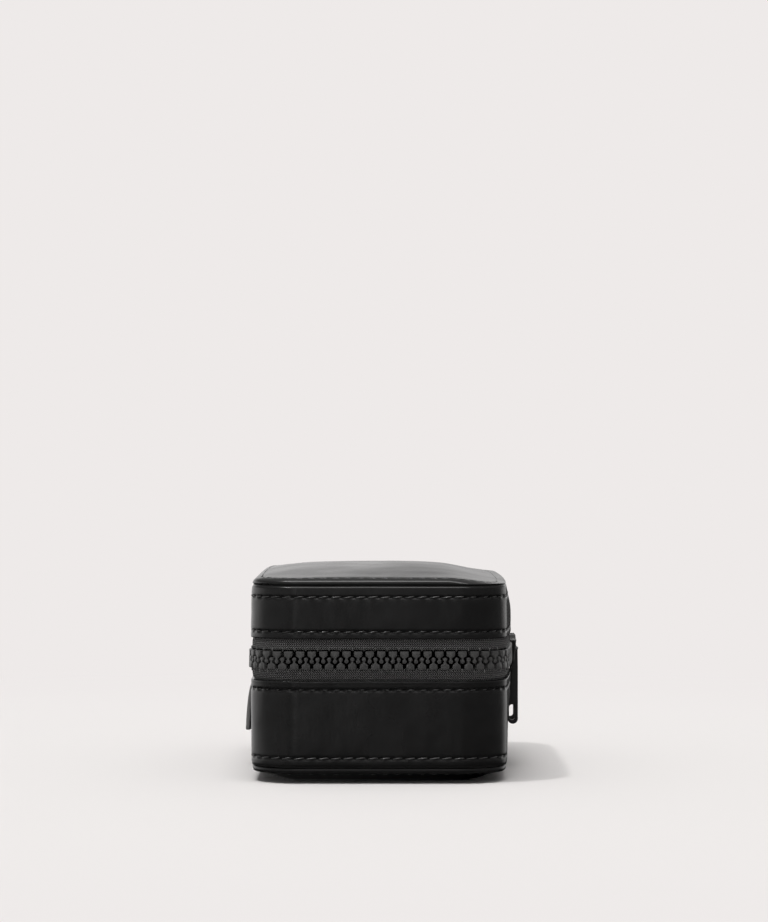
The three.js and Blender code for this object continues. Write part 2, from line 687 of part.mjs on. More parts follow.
function addFittings() {
  const low = FLOOR_TOP_Z + GAP;
  for (let i = 0; i < ROLL_COUNT; i++) {
    addMesh(`ring_roll_${i + 1}`, ringRoll(ROLL_FIRST_X + i * ROLL_PITCH), suede);
  }
  const x = CROSS_DIVIDER_X;
  const front = -INSIDE_HALF_WIDTH + GAP;
  const back = INSIDE_HALF_WIDTH - GAP;
  addMesh("cross_divider", block(x, x + DIVIDER, front, back, low, DIVIDER_TOP_Z), suede);
  const left = x + DIVIDER + GAP;
  const right = INSIDE_HALF_LENGTH - GAP;
  addMesh("long_divider", block(left, right, -DIVIDER / 2, DIVIDER / 2, low, DIVIDER_TOP_Z), suede);
  addMesh(
    "short_divider",
    block(SHORT_DIVIDER_X, SHORT_DIVIDER_X + DIVIDER, DIVIDER / 2 + GAP, back, low, DIVIDER_TOP_Z),
    suede,
  );
}

// ---- Inside of the lid: a pocket at the hinge side and necklace hooks at the front ----
const POCKET_HALF_LENGTH = 48;
const POCKET_DEPTH = 6.2;
const POCKET_FRONT_Y = -2;
const POCKET_BACK_Y = INSIDE_HALF_WIDTH - 1.2;
const POCKET_CLOTH = 0.9;
const HOOK_COUNT = 4;
const HOOK_PITCH = 22;
const HOOK_Y = -27.5;
const HOOK_FOOT = 4.4;
const HOOK_STEEL = 0.8;
const HOOK_HALF_WIDTH = 1.1;
const HOOK_WIDTH = 5.2; // from the outside of the stem to the outside of the tip
const HOOK_DEPTH = 5;
const STRAP = 1.2;
const STRAP_FRONT_Y = -30;
const STRAP_BACK_Y = -20.5;
const STRAP_END = 8; // past the outer hooks
const STRAP_BOTTOM_Z = LID_PAD_Z - GAP - STRAP;
const ELASTIC_RADIUS = 0.7;

// The pocket is a shallow bag on the lid's lining, open towards the front. Its mouth is gathered on an
// elastic cord.
function pocket() {
  const top = LID_PAD_Z - GAP;
  const bottom = top - POCKET_DEPTH;
  const outer = block(-POCKET_HALF_LENGTH, POCKET_HALF_LENGTH, POCKET_FRONT_Y, POCKET_BACK_Y, bottom, top);
  const inner = block(
    -POCKET_HALF_LENGTH + POCKET_CLOTH,
    POCKET_HALF_LENGTH - POCKET_CLOTH,
    POCKET_FRONT_Y - 1,
    POCKET_BACK_Y - POCKET_CLOTH,
    bottom + POCKET_CLOTH,
    top + 1,
  );
  return cut(outer, inner);
}

// A hook of flat steel: a foot on the strap, a stem that curves under and an upturned end.
function necklaceHook(x) {
  const stem = HOOK_FOOT - 1.8;
  const tip = stem - HOOK_WIDTH;
  const low = -HOOK_DEPTH;
  const middle = (stem + tip) / 2 - 0.4;
  const side = new THREE.Shape();
  side.moveTo(0, 0);
  side.lineTo(HOOK_FOOT, 0);
  side.lineTo(HOOK_FOOT, -HOOK_STEEL);
  side.lineTo(stem, -HOOK_STEEL);
  side.quadraticCurveTo(stem, low, middle, low);
  side.quadraticCurveTo(tip, low, tip, low / 2);
  side.lineTo(tip + HOOK_STEEL, low / 2);
  side.quadraticCurveTo(tip + HOOK_STEEL, low + HOOK_STEEL, middle, low + HOOK_STEEL);
  side.quadraticCurveTo(stem - HOOK_STEEL, low + HOOK_STEEL, stem - HOOK_STEEL, -HOOK_STEEL);
  side.lineTo(0, -HOOK_STEEL);
  const geometry = extruded(side, -HOOK_HALF_WIDTH, HOOK_HALF_WIDTH, 5);
  return geometry.rotateX(Math.PI / 2).rotateZ(Math.PI / 2).translate(x, HOOK_Y, STRAP_BOTTOM_Z - GAP);
}

function addLidFittings() {
  const top = LID_PAD_Z - GAP;
  addMesh("lid_pocket", pocket(), suede);
  const elastic = new THREE.CylinderGeometry(ELASTIC_RADIUS, ELASTIC_RADIUS, POCKET_HALF_LENGTH * 2, 10);
  elastic.rotateZ(Math.PI / 2);
  elastic.translate(0, POCKET_FRONT_Y - GAP - ELASTIC_RADIUS, top - POCKET_DEPTH + ELASTIC_RADIUS);
  addMesh("pocket_elastic", elastic, suede);
  const reach = (HOOK_PITCH * (HOOK_COUNT - 1)) / 2;
  const end = reach + STRAP_END;
  addMesh("hook_strap", block(-end, end, STRAP_FRONT_Y, STRAP_BACK_Y, STRAP_BOTTOM_Z, top), leather);
  for (let i = 0; i < HOOK_COUNT; i++)
    addMesh(`necklace_hook_${i + 1}`, necklaceHook(-reach + i * HOOK_PITCH), steel);
}

// ---- Assembly ----
addBase();
addLid();
addHinge();
addMesh("grip_tab", gripTab(), leather);
addMesh("zip_tape_base", tape(-1), tapeCloth);
addMesh("zip_tape_lid", tape(1), tapeCloth);
addMesh("zip_teeth_base", chain(-1), toothResin);
addMesh("zip_teeth_lid", chain(1), toothResin);
for (const [label, end] of [
  ["left", -1],
  ["right", 1],
]) {
  addMesh(`zip_stop_base_${label}`, zipStop(end, -1), toothResin);
  addMesh(`zip_stop_lid_${label}`, zipStop(end, 1), toothResin);
}
addSlider(-1);
addSlider(1);
addFittings();
addLidFittings();

export default caseGroup;
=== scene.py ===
"""Looks of a small zip-round leather jewellery case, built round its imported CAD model.

Lengths in this script are millimetres in the row frame, and meshes are scaled to metres as they are made.
The case's long side runs along X, its front with the two sliders faces -Y, and Z is up.
"""

import math
import random
from functools import partial

import bmesh
import bpy
import numpy as np
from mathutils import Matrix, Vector, noise


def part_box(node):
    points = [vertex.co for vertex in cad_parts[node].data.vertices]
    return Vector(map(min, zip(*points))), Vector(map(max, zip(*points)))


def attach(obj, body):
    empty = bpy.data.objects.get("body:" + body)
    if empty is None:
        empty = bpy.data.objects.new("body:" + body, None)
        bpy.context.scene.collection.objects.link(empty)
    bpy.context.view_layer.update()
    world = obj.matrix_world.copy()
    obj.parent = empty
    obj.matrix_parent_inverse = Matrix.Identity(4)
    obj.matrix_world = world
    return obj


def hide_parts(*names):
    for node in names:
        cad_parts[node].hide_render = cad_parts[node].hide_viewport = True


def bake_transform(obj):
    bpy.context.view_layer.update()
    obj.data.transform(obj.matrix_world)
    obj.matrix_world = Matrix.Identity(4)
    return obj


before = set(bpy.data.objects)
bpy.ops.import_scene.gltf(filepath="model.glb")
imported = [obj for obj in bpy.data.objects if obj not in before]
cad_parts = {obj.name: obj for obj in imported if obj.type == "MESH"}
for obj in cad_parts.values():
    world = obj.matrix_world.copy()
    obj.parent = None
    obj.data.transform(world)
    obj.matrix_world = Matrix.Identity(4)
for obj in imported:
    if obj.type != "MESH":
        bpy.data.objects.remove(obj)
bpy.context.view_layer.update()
random.seed(11)

MM = 0.001


def box(node):
    """A CAD node's lowest and highest corner in millimetres."""
    low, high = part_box(node)
    return low / MM, high / MM


# ---- Driving sizes, from the frame ----
base_low, base_high = box("base_side_leather")
lid_low, lid_high = box("lid_side_leather")
HALF_LENGTH = base_high.x
HALF_WIDTH = base_high.y
ZIP_BOW = -base_low.y - base_high.y
GAP = 0.3  # that the CAD model keeps between neighbouring pieces
SEAM_DROP = 0.2  # how much lower than its CAD solid the base's wall reaches
BOTTOM_SEAM_Z = base_low.z - GAP - SEAM_DROP
BASE_EDGE_Z = base_high.z
LID_EDGE_Z = lid_low.z
TOP_SEAM_Z = lid_high.z + GAP
ZIP_Z = (BASE_EDGE_Z + LID_EDGE_Z) / 2

CORNER_RADIUS = 14.0
SEAM_BOW = 0.8  # how far the middle of the front stands out at the top and bottom seams
EXTRA_BOW = 0.2  # how much more than its CAD solid the front bows at the zip
PUFF = 0.42  # how far the leather walls are padded out
LEATHER = 1.3
EDGE_ROUND = 0.4  # how far the leather's cut edges are rounded
CHAIN_OFFSET = -0.2  # of the teeth's middle, outward from the wall's outline
ZIP_END_X = 44.0  # the zip's ends on the back wall
HINGE_HALF_LENGTH = box("hinge_leather")[1].x
HINGE_REACH = ZIP_END_X + 0.8  # the hinge's strips go on behind the zip's stops and the ends of its tapes
PITCH = 3.47  # from tooth to tooth in one row
STITCH_PITCH = 3.7
SPREAD = 1.55  # how far the sliders hold each row of teeth off the middle line
SPREAD_LENGTH = 9.0  # and how far from the middle of the front the rows meet again

# ---- Plan of the case ----
CORNER_X = HALF_LENGTH - CORNER_RADIUS
CORNER_Y = HALF_WIDTH - CORNER_RADIUS


def smoothstep(x, low, high):
    t = np.clip((x - low) / (high - low), 0, 1)
    return t * t * (3 - 2 * t)


def bow_at(z):
    """How far the middle of the front stands out at height z."""
    rise = smoothstep(z, BOTTOM_SEAM_Z, BASE_EDGE_Z)
    fall = smoothstep(z, LID_EDGE_Z + 6, TOP_SEAM_Z + 0.5)
    return SEAM_BOW + (ZIP_BOW + EXTRA_BOW - SEAM_BOW) * (rise - fall)


def front_arc(bow):
    """Radius, centre's y and half angle of the front's long curve."""
    reach = (CORNER_X**2 - bow**2) / (2 * bow)
    return reach + CORNER_RADIUS + bow, reach - CORNER_Y, math.asin(CORNER_X / (reach + bow))


def plan_pieces(bow):
    """The outline's runs, anticlockwise from the middle of the back. Lines are (start, end) and arcs are
    (centre, radius, first angle, last angle)."""
    radius, centre_y, lean = front_arc(bow)
    r, x, y = CORNER_RADIUS, CORNER_X, CORNER_Y
    quarter = math.pi / 2
    return [
        ((0, HALF_WIDTH), (-x, HALF_WIDTH)),
        ((-x, y), r, quarter, 2 * quarter),
        ((-HALF_LENGTH, y), (-HALF_LENGTH, -y)),
        ((-x, -y), r, 2 * quarter, 3 * quarter - lean),
        ((0, centre_y), radius, 3 * quarter - lean, 3 * quarter + lean),
        ((x, -y), r, 3 * quarter + lean, 4 * quarter),
        ((HALF_LENGTH, -y), (HALF_LENGTH, y)),
        ((x, y), r, 0, quarter),
        ((x, HALF_WIDTH), (0, HALF_WIDTH)),
    ]


def run_length(run):
    if len(run) == 2:
        return math.dist(*run)
    return run[1] * (run[3] - run[2])


RUN_ENDS = np.cumsum([0] + [run_length(run) for run in plan_pieces(ZIP_BOW)])
PERIMETER = RUN_ENDS[-1]
MIDDLE = (RUN_ENDS[4] + RUN_ENDS[5]) / 2  # the middle of the front


def plan(distance, bow):
    """Point and outward normal of the outline at distances along it, as arrays of x and y."""
    distance = np.mod(np.asarray(distance, float), PERIMETER)
    points = np.zeros(distance.shape + (2,))
    normals = np.zeros_like(points)
    for i, run in enumerate(plan_pieces(bow)):
        inside = (distance >= RUN_ENDS[i]) & (distance <= RUN_ENDS[i + 1])
        t = (distance[inside] - RUN_ENDS[i]) / (RUN_ENDS[i + 1] - RUN_ENDS[i])
        if len(run) == 2:
            a, b = np.array(run[0]), np.array(run[1])
            points[inside] = a + (b - a) * t[:, None]
            along = (b - a) / np.linalg.norm(b - a)
            normals[inside] = (along[1], -along[0])
        else:
            centre, radius, first, last = run
            angle = first + (last - first) * t
            normals[inside] = np.stack([np.cos(angle), np.sin(angle)], -1)
            points[inside] = np.array(centre) + radius * normals[inside]
    return points, normals


def on_wall(distance, z, offset=0.0):
    """Points on the wall: distances along the outline, heights, and offsets outward, broadcast together."""
    distance, z, offset = np.broadcast_arrays(
        np.asarray(distance, float), np.asarray(z, float), np.asarray(offset, float)
    )
    result = np.zeros(distance.shape + (3,))
    for height in np.unique(z):
        here = z == height
        points, normals = plan(distance[here], float(bow_at(height)))
        result[here, :2] = points + normals * offset[here][:, None]
    result[..., 2] = z
    return result


# ---- Making meshes ----
def finish_mesh(name, points, faces, material, slot, outward=False, sharp=None):
    """Makes a smooth piece. outward turns its faces outward. Edges of more than sharp degrees stay sharp."""
    mesh = bpy.data.meshes.new(name)
    mesh.from_pydata((np.asarray(points, float).reshape(-1, 3) * MM).tolist(), [], faces)
    mesh.validate()
    mesh.update()
    mesh.polygons.foreach_set("use_smooth", [True] * len(mesh.polygons))
    mesh.materials.append(material)
    if outward:
        turn_outward(mesh)
    if sharp:
        mesh.set_sharp_from_angle(angle=math.radians(sharp))
    piece = bpy.data.objects.new(name, mesh)
    bpy.context.scene.collection.objects.link(piece)
    return piece


def turn_outward(mesh):
    """Makes every face of a closed mesh point outward."""
    work = bmesh.new()
    work.from_mesh(mesh)
    bmesh.ops.recalc_face_normals(work, faces=work.faces)
    work.to_mesh(mesh)
    work.free()


def grid_faces(rows, columns, wrap_rows=False, wrap_columns=True):
    """Quads over a grid of points held row by row."""
    faces = []
    for i in range(rows if wrap_rows else rows - 1):
        a, b = i * columns, ((i + 1) % rows) * columns
        for j in range(columns if wrap_columns else columns - 1):
            k = (j + 1) % columns
            faces.append((a + j, a + k, b + k, b + j))
    return faces


def tube_faces(rows, columns):
    """Quads over rings of points, with a cap on the first ring and on the last."""
    last = (rows - 1) * columns
    caps = [tuple(range(columns))[::-1], tuple(last + k for k in range(columns))]
    return grid_faces(rows, columns) + caps


def fan_faces(rows, columns):
    """Triangles from the last ring to the one point stored after it."""
    last = (rows - 1) * columns
    return [(last + j, last + (j + 1) % columns, rows * columns) for j in range(columns)]


def turns(count):
    """Angles evenly spaced round a circle."""
    return np.linspace(0, 2 * math.pi, count, endpoint=False)


def signed_power(value, power):
    return math.copysign(abs(value) ** power, value)


def join(parts):
    """Joins (points, faces) parts into one."""
    points, faces, count = [], [], 0
    for some_points, some_faces in parts:
        points.append(np.asarray(some_points, float).reshape(-1, 3))
        faces.extend(tuple(count + i for i in face) for face in some_faces)
        count += len(points[-1])
    return np.concatenate(points), faces


def paint(piece, name, values):
    """Stores a number for each point, for the materials to read."""
    attribute = piece.data.attributes.new(name, "FLOAT", "POINT")
    attribute.data.foreach_set("value", np.asarray(values, np.float32).ravel())


def bumps(points, scale, seed):
    """Smooth noise from -1 to 1 at each point; scale is the size of a bump."""
    shift = Vector((seed * 17.3, seed * 5.1, seed * 9.7))
    flat = points.reshape(-1, 3) / scale
    values = [noise.noise(Vector(p) + shift) for p in flat.tolist()]
    return np.array(values).reshape(points.shape[:-1])


# ---- Materials ----
def new_material(name):
    material = bpy.data.materials.new(name)
    material.use_nodes = True
    nodes = material.node_tree.nodes
    return material, nodes, material.node_tree.links, nodes["Principled BSDF"]


def add(nodes, kind, inputs=None, **settings):
    """Adds a node, with constants for its inputs and its settings."""
    node = nodes.new(kind)
    for key, value in settings.items():
        setattr(node, key, value)
    for key, value in (inputs or {}).items():
        node.inputs[key].default_value = value
    return node


def ramp(nodes, links, pattern, low, high, dark, light):
    """A colour that goes from dark to light as the pattern goes from low to high."""
    node = add(nodes, "ShaderNodeValToRGB")
    for element, position, colour in zip(node.color_ramp.elements, (low, high), (dark, light)):
        element.position = position
        element.color = (*colour, 1)
    links.new(pattern, node.inputs["Fac"])
    return node.outputs["Color"]


def maths(nodes, links, operation, *values):
    """A maths node on sockets or numbers."""
    node = add(nodes, "ShaderNodeMath", operation=operation)
    for socket, value in zip(node.inputs, values):
        if isinstance(value, (int, float)):
            socket.default_value = value
        else:
            links.new(value, socket)
    return node.outputs["Value"]


def texture(nodes, links, kind, inputs, **settings):
    """A texture, or another node, that takes the object's own coordinates."""
    node = add(nodes, kind, inputs, **settings)
    coords = add(nodes, "ShaderNodeTexCoord")
    links.new(coords.outputs["Object"], node.inputs["Vector"])
    return node


def vary_gloss(nodes, links, shader, pattern, least, most):
    """Roughness that follows the pattern."""
    gloss = add(nodes, "ShaderNodeMapRange", {"To Min": least, "To Max": most})
    links.new(pattern, gloss.inputs["Value"])
    links.new(gloss.outputs["Result"], shader.inputs["Roughness"])


def emboss(nodes, links, shader, layers):
    """Bumps laid one over another. Each layer is its pattern, strength, and depth in metres."""
    normal = None
    for pattern, strength, depth in layers:
        bump = add(nodes, "ShaderNodeBump", {"Strength": strength, "Distance": depth})
        links.new(pattern, bump.inputs["Height"])
        if normal:
            links.new(normal, bump.inputs["Normal"])
        normal = bump.outputs["Normal"]
    links.new(normal, shader.inputs["Normal"])


def mix_colours(nodes, links, blend_type, factor, first, second):
    """Two colours mixed by a factor. The factor and the second are sockets or values."""
    node = add(nodes, "ShaderNodeMix", data_type="RGBA", blend_type=blend_type)
    links.new(first, node.inputs["A"])
    for value, name in ((factor, "Factor"), (second, "B")):
        if isinstance(value, (float, tuple)):
            node.inputs[name].default_value = value
        else:
            links.new(value, node.inputs[name])
    return node.outputs["Result"]


def set_values(shader, values):
    """Sets constants on a shader's sockets."""
    for name, value in values.items():
        shader.inputs[name].default_value = value


def grey(value, warmth=0.0):
    return (value * (1 + warmth), value, value * (1 - warmth))


def leather_material(name, base, roughness, grain=1.0):
    """Smooth black leather: a fine pebble, faint creases, rubbed paler edges, and painted shade, near black,
    beside the stitches.
    """
    material, nodes, links, shader = new_material(name)
    pattern = partial(texture, nodes, links)
    pebble = pattern("ShaderNodeTexVoronoi", {"Scale": 1500.0, "Randomness": 1.0}, feature="SMOOTH_F1")
    pores = pattern("ShaderNodeTexNoise", {"Scale": 2600.0, "Detail": 2.0, "Roughness": 0.6})
    cloud = pattern("ShaderNodeTexNoise", {"Scale": 45.0, "Detail": 3.0, "Roughness": 0.5})
    stretch = pattern("ShaderNodeMapping", {"Scale": (1.0, 1.0, 0.16)})
    creases = add(nodes, "ShaderNodeTexNoise", {"Scale": 420.0, "Detail": 4.0, "Roughness": 0.55})
    links.new(stretch.outputs["Vector"], creases.inputs["Vector"])

    wear = add(nodes, "ShaderNodeAttribute", attribute_name="wear").outputs["Fac"]
    painted_stitch_shade = add(nodes, "ShaderNodeAttribute", attribute_name="painted_stitch_shade").outputs["Fac"]
    tone = ramp(nodes, links, cloud.outputs["Fac"], 0.3, 0.75, base, tuple(c * 1.5 for c in base))
    rubbed = mix_colours(nodes, links, "MIX", wear, tone, (*(c * 4.5 + 0.01 for c in base), 1))
    # Painted shade: the gaps beside the stitches, in the thread's shadow, are painted near black.
    stitch_shaded_colour = mix_colours(nodes, links, "MIX", painted_stitch_shade, rubbed, (0.0004, 0.0004, 0.0004, 1))
    links.new(stitch_shaded_colour, shader.inputs["Base Color"])
    vary_gloss(nodes, links, shader, cloud.outputs["Fac"], roughness - 0.05, roughness + 0.07)
    emboss(nodes, links, shader, [
        (pebble.outputs["Distance"], 0.22 * grain, 0.00007),
        (pores.outputs["Fac"], 0.15 * grain, 0.00004),
        (creases.outputs["Fac"], 0.30 * grain, 0.00016),
    ])
    set_values(shader, {"IOR": 1.36})
    return material


def thread_material(name, base):
    """Waxed sewing thread, twisted from strands."""
    material, nodes, links, shader = new_material(name)
    waves = texture(nodes, links, "ShaderNodeTexWave", {"Scale": 900.0, "Distortion": 1.5, "Detail": 1.0})
    strands = waves.outputs["Fac"]
    tone = ramp(nodes, links, strands, 0.2, 0.8, base, tuple(c * 2.6 for c in base))
    links.new(tone, shader.inputs["Base Color"])
    emboss(nodes, links, shader, [(strands, 0.5, 0.00008)])
    set_values(shader, {"Roughness": 0.32, "IOR": 1.6})
    return material


def twill_material(name, base, thread_size=0.68):
    """Woven herringbone twill. The attributes along and across hold a point's place in the cloth, in mm."""
    material, nodes, links, shader = new_material(name)
    along = add(nodes, "ShaderNodeAttribute", attribute_name="along").outputs["Fac"]
    across = add(nodes, "ShaderNodeAttribute", attribute_name="across").outputs["Fac"]
    node = partial(maths, nodes, links)
    turn = 2 * math.pi / thread_size
    diagonal = node("ADD", along, node("PINGPONG", across, 1.1))
    ribs = node("SINE", node("MULTIPLY", diagonal, turn))
    warp = node("SINE", node("MULTIPLY", across, turn * 1.2))
    height = node("ADD", node("MULTIPLY", ribs, 0.7), node("MULTIPLY", warp, 0.4))
    weave = node("MULTIPLY_ADD", height, 0.45, 0.5)
    tone = ramp(nodes, links, weave, 0.4, 0.85, tuple(c * 0.03 for c in base), tuple(c * 6 for c in base))
    links.new(tone, shader.inputs["Base Color"])
    emboss(nodes, links, shader, [(weave, 1.0, 0.0003)])
    set_values(shader, {"Roughness": 0.7, "IOR": 1.3, "Sheen Weight": 0.04, "Sheen Roughness": 0.4})
    return material


def resin_material(name, base, roughness):
    """Moulded zip resin with a faint flow pattern."""
    material, nodes, links, shader = new_material(name)
    flow = texture(nodes, links, "ShaderNodeTexNoise", {"Scale": 900.0, "Detail": 3.0}).outputs["Fac"]
    tone = ramp(nodes, links, flow, 0.3, 0.7, base, tuple(c * 1.35 for c in base))
    links.new(tone, shader.inputs["Base Color"])
    vary_gloss(nodes, links, shader, flow, roughness - 0.06, roughness + 0.08)
    emboss(nodes, links, shader, [(flow, 0.25, 0.00005)])
    return material


def lacquer_material(name, base, roughness):
    """Black lacquer on cast metal, with fine scuffs."""
    material, nodes, links, shader = new_material(name)
    noisy = texture(nodes, links, "ShaderNodeTexNoise", {"Scale": 650.0, "Detail": 5.0, "Roughness": 0.7})
    scuffs = noisy.outputs["Fac"]
    tone = ramp(nodes, links, scuffs, 0.45, 0.8, base, tuple(c * 2.2 for c in base))
    links.new(tone, shader.inputs["Base Color"])
    vary_gloss(nodes, links, shader, scuffs, roughness - 0.1, roughness + 0.2)
    emboss(nodes, links, shader, [(scuffs, 0.15, 0.00005)])
    set_values(shader, {"Coat Weight": 0.3, "Coat Roughness": 0.2})
    return material


def suede_material(name, base):
    """Napped microfibre lining, brushed unevenly."""
    material, nodes, links, shader = new_material(name)
    brushed = {"Scale": 110.0, "Detail": 4.0, "Roughness": 0.6, "Distortion": 0.6}
    nap = texture(nodes, links, "ShaderNodeTexNoise", brushed).outputs["Fac"]
    fine = {"Scale": 3200.0, "Detail": 2.0, "Roughness": 0.8}
    fibres = texture(nodes, links, "ShaderNodeTexNoise", fine).outputs["Fac"]
    tone = ramp(nodes, links, nap, 0.35, 0.7, tuple(c * 0.8 for c in base), tuple(c * 1.2 for c in base))
    speckle = mix_colours(nodes, links, "OVERLAY", 0.4, tone, fibres)
    links.new(speckle, shader.inputs["Base Color"])
    emboss(nodes, links, shader, [(fibres, 0.45, 0.00015)])
    set_values(shader, {"Roughness": 0.95, "Sheen Weight": 0.6, "Sheen Roughness": 0.45})
    return material


LEATHER_BLACK = leather_material("black_leather", grey(0.006), 0.23, grain=0.7)
THREAD = thread_material("black_thread", grey(0.018))
TWILL = twill_material("zip_twill", grey(0.03))
RESIN = resin_material("zip_resin", grey(0.045), 0.33)
# Painted light: the tab is the same black leather painted paler, where the key light from the left falls on
# it.
TAB_LEATHER_PAINTED_LIT = leather_material("tab_leather_painted_light", grey(0.045), 0.5)
LACQUER = lacquer_material("black_lacquer", grey(0.005), 0.3)
SUEDE = suede_material("suede_lining", (0.20, 0.175, 0.15))
CORD_THREAD = thread_material("cord_thread", grey(0.05))
ELASTIC = twill_material("elastic", grey(0.05), thread_size=0.6)

# ---- Leather walls ----
STITCHES_ROUND = round(PERIMETER / STITCH_PITCH)
GAP_PHASE = 0.88  # where along its stitch each gap in the leather lies
GAP_OFFSET = -0.16  # and how far up from the row
COLUMNS = STITCHES_ROUND * 12  # points round the case in a leather panel
ROUND = np.arange(COLUMNS) * PERIMETER / COLUMNS
STITCH_STEP = PERIMETER / STITCHES_ROUND
LIP_FLARE = 0.45  # how far the walls' free edges flare out
LID_TURN_IN = 0.6  # how far each wall turns in at its seam
BASE_TURN_IN = 0.3
BAND_WEAR = 0.15  # how rubbed the edges of the walls are, and those of the panels
PANEL_WEAR = 0.12


def stitch_dent(distance, away):
    """Depth of the dents that a row of stitches pulls into the leather, away up from the row."""
    groove = 0.12 * np.exp(-((away / 0.5) ** 2))
    return groove + 0.35 * stitch_gap(distance, away, 0.32, 0.35)


def stitch_gap(distance, away, half_length=0.27, half_width=0.2):
    """1 in the open gap beside the end of each stitch, falling to 0 around it: it deepens the dents there and
    marks where painted shade goes.
    """
    phase = np.mod(distance / STITCH_STEP - GAP_PHASE + 0.5, 1.0) - 0.5
    return np.exp(-((phase / half_length) ** 4) - ((away - GAP_OFFSET) / half_width) ** 2)


def heights_between(low, high, rows, fine=0.28, coarse=0.9):
    """Heights from low to high, close together near the stitch rows and the ends."""
    heights = [low]
    marks = [low, high, *rows]
    while heights[-1] < high:
        near = min(abs(heights[-1] - mark) for mark in marks)
        heights.append(heights[-1] + (fine if near < 1.4 else coarse))
    heights[-1] = high
    return np.array(heights)


def wear_strength(rings):
    """Unevenness of the wear along an edge."""
    return 0.55 + 0.45 * bumps(rings, 9.0, 4)


def leather_band(name, body, low, high, stitch_rows, lip, node):
    """A wall of leather. lip is its free edge: 1 for the top, -1 for the bottom. The other edge is a seam."""
    z = heights_between(low + EDGE_ROUND, high - EDGE_ROUND, stitch_rows)
    free, seam = (high, low) if lip > 0 else (low, high)
    middle, half = (low + high) / 2, (high - low) / 2
    flare = LIP_FLARE * np.exp(-np.abs(free - z) / 2.0)
    fall = np.where((z < middle) & (lip > 0), 0.45, 1.0)  # the base stays full down to its seam
    puff = PUFF * (1 - fall * ((z - middle) / half) ** 4)
    turn_in = (LID_TURN_IN if lip < 0 else BASE_TURN_IN) * np.exp(-(((z - seam) / 0.45) ** 2))
    outer = np.broadcast_to((flare + puff - turn_in)[:, None], (len(z), COLUMNS)).copy()
    distance = np.broadcast_to(ROUND, outer.shape)
    painted_stitch_shade = np.zeros_like(outer)
    for row in stitch_rows:
        away = z[:, None] - row
        outer -= stitch_dent(distance, away)
        # the gaps beside each row are marked for painted shade
        painted_stitch_shade += stitch_gap(distance, away)
    surface = on_wall(distance, np.broadcast_to(z[:, None], outer.shape))
    outer += 0.16 * bumps(surface, 17.0, 1) + 0.05 * bumps(surface, 4.5, 2)
    wavy = 0.12 * bumps(surface * np.array([1, 1, 0]), 21.0, 3)
    points = on_wall(distance, np.broadcast_to(z[:, None], outer.shape), outer)
    points[..., 2] += wavy

    def edge(index, sign):
        """Rounds the leather's edge over to its back."""
        rows = []
        for angle in np.linspace(0, math.pi, 9)[1:]:
            inset = LEATHER / 2 * (1 - signed_power(math.cos(angle), 0.5))
            rise = EDGE_ROUND * math.sin(angle) ** 0.5
            ring = on_wall(ROUND, z[index], outer[index] - inset)
            ring[:, 2] = points[index, :, 2] + sign * rise
            rows.append(ring)
        return rows

    top, bottom = edge(-1, 1), edge(0, -1)
    rings = np.concatenate([points, np.array(top), np.array(bottom)[::-1]])
    faces = grid_faces(len(rings), COLUMNS, wrap_rows=True)
    piece = finish_mesh(name, rings, faces, LEATHER_BLACK, "black_leather")
    wear = np.zeros(rings.shape[:2])
    wear[len(points) - 1 : len(points) + 3] = BAND_WEAR
    wear[0] = BAND_WEAR
    wear[-3:] = BAND_WEAR
    paint(piece, "wear", wear * wear_strength(rings))
    paint(piece, "painted_stitch_shade", np.concatenate([painted_stitch_shade, np.zeros((len(rings) - len(painted_stitch_shade), COLUMNS))]))
    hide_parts(node)
    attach(piece, body)


# ---- Stitches ----
STITCH_INSET = 0.12  # from a wall stitch's end to the end of its step
PANEL_STITCH_INSET = 0.42
PANEL_STITCH_LEAN = 0.3
PANEL_STITCH_DEPTH = 0.2


def stitch_mesh(start, end, normal, radius=0.22):
    """One stitch: a thread that dives into the leather at both ends."""
    start, end, normal = (np.asarray(v, float) for v in (start, end, normal))
    along = end - start
    length = np.linalg.norm(along)
    along = along / length
    side = np.cross(normal, along)
    rings, around = 10, 8
    points = []
    for t in np.linspace(0, 1, rings):
        rise = math.sin(math.pi * t) ** 0.45
        lift = 0.6 * rise - 0.55
        thick = radius * (0.7 + 0.3 * rise)
        twist = 0.04 * math.sin(t * math.pi * 5)
        centre = start + along * length * t + normal * lift + side * twist
        for a in turns(around):
            points.append(centre + thick * (math.cos(a) * side + 0.85 * math.sin(a) * normal))
    return points, tube_faces(rings, around)


def wall_stitches(z, lean=0.24, sunk=0.0):
    """Slanted stitches along a wall at height z. sunk is how much deeper than usual they lie in it."""
    parts = []
    for i in range(STITCHES_ROUND):
        distance = i * STITCH_STEP
        ends = distance + np.array([STITCH_INSET, STITCH_STEP - STITCH_INSET])
        jitter = random.uniform(-0.07, 0.07)
        base = on_wall(ends, z, PUFF * 0.6 - sunk)
        base[0, 2] -= lean - jitter
        base[1, 2] += lean + jitter
        normal = plan(np.array([distance + STITCH_STEP / 2]), float(bow_at(z)))[1][0]
        parts.append(stitch_mesh(base[0], base[1], (*normal, 0)))
    return parts


def stitches(name, body, parts):
    """Rows of stitches as one piece of thread."""
    piece = finish_mesh(name, *join(parts), THREAD, "black_leather")
    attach(piece, body)


# ---- Padded panels ----
TOP_STITCH_INSET = 2.75
TOP_EDGE = 1.65  # height of the top's edge above its seam
TOP_FRONT_EDGE = 0.45  # the same at the front
TOP_DOME = 3.2
BOTTOM_STITCH_INSET = 2.6
BOTTOM_EDGE = 1.6  # depth of the bottom's edge below its seam


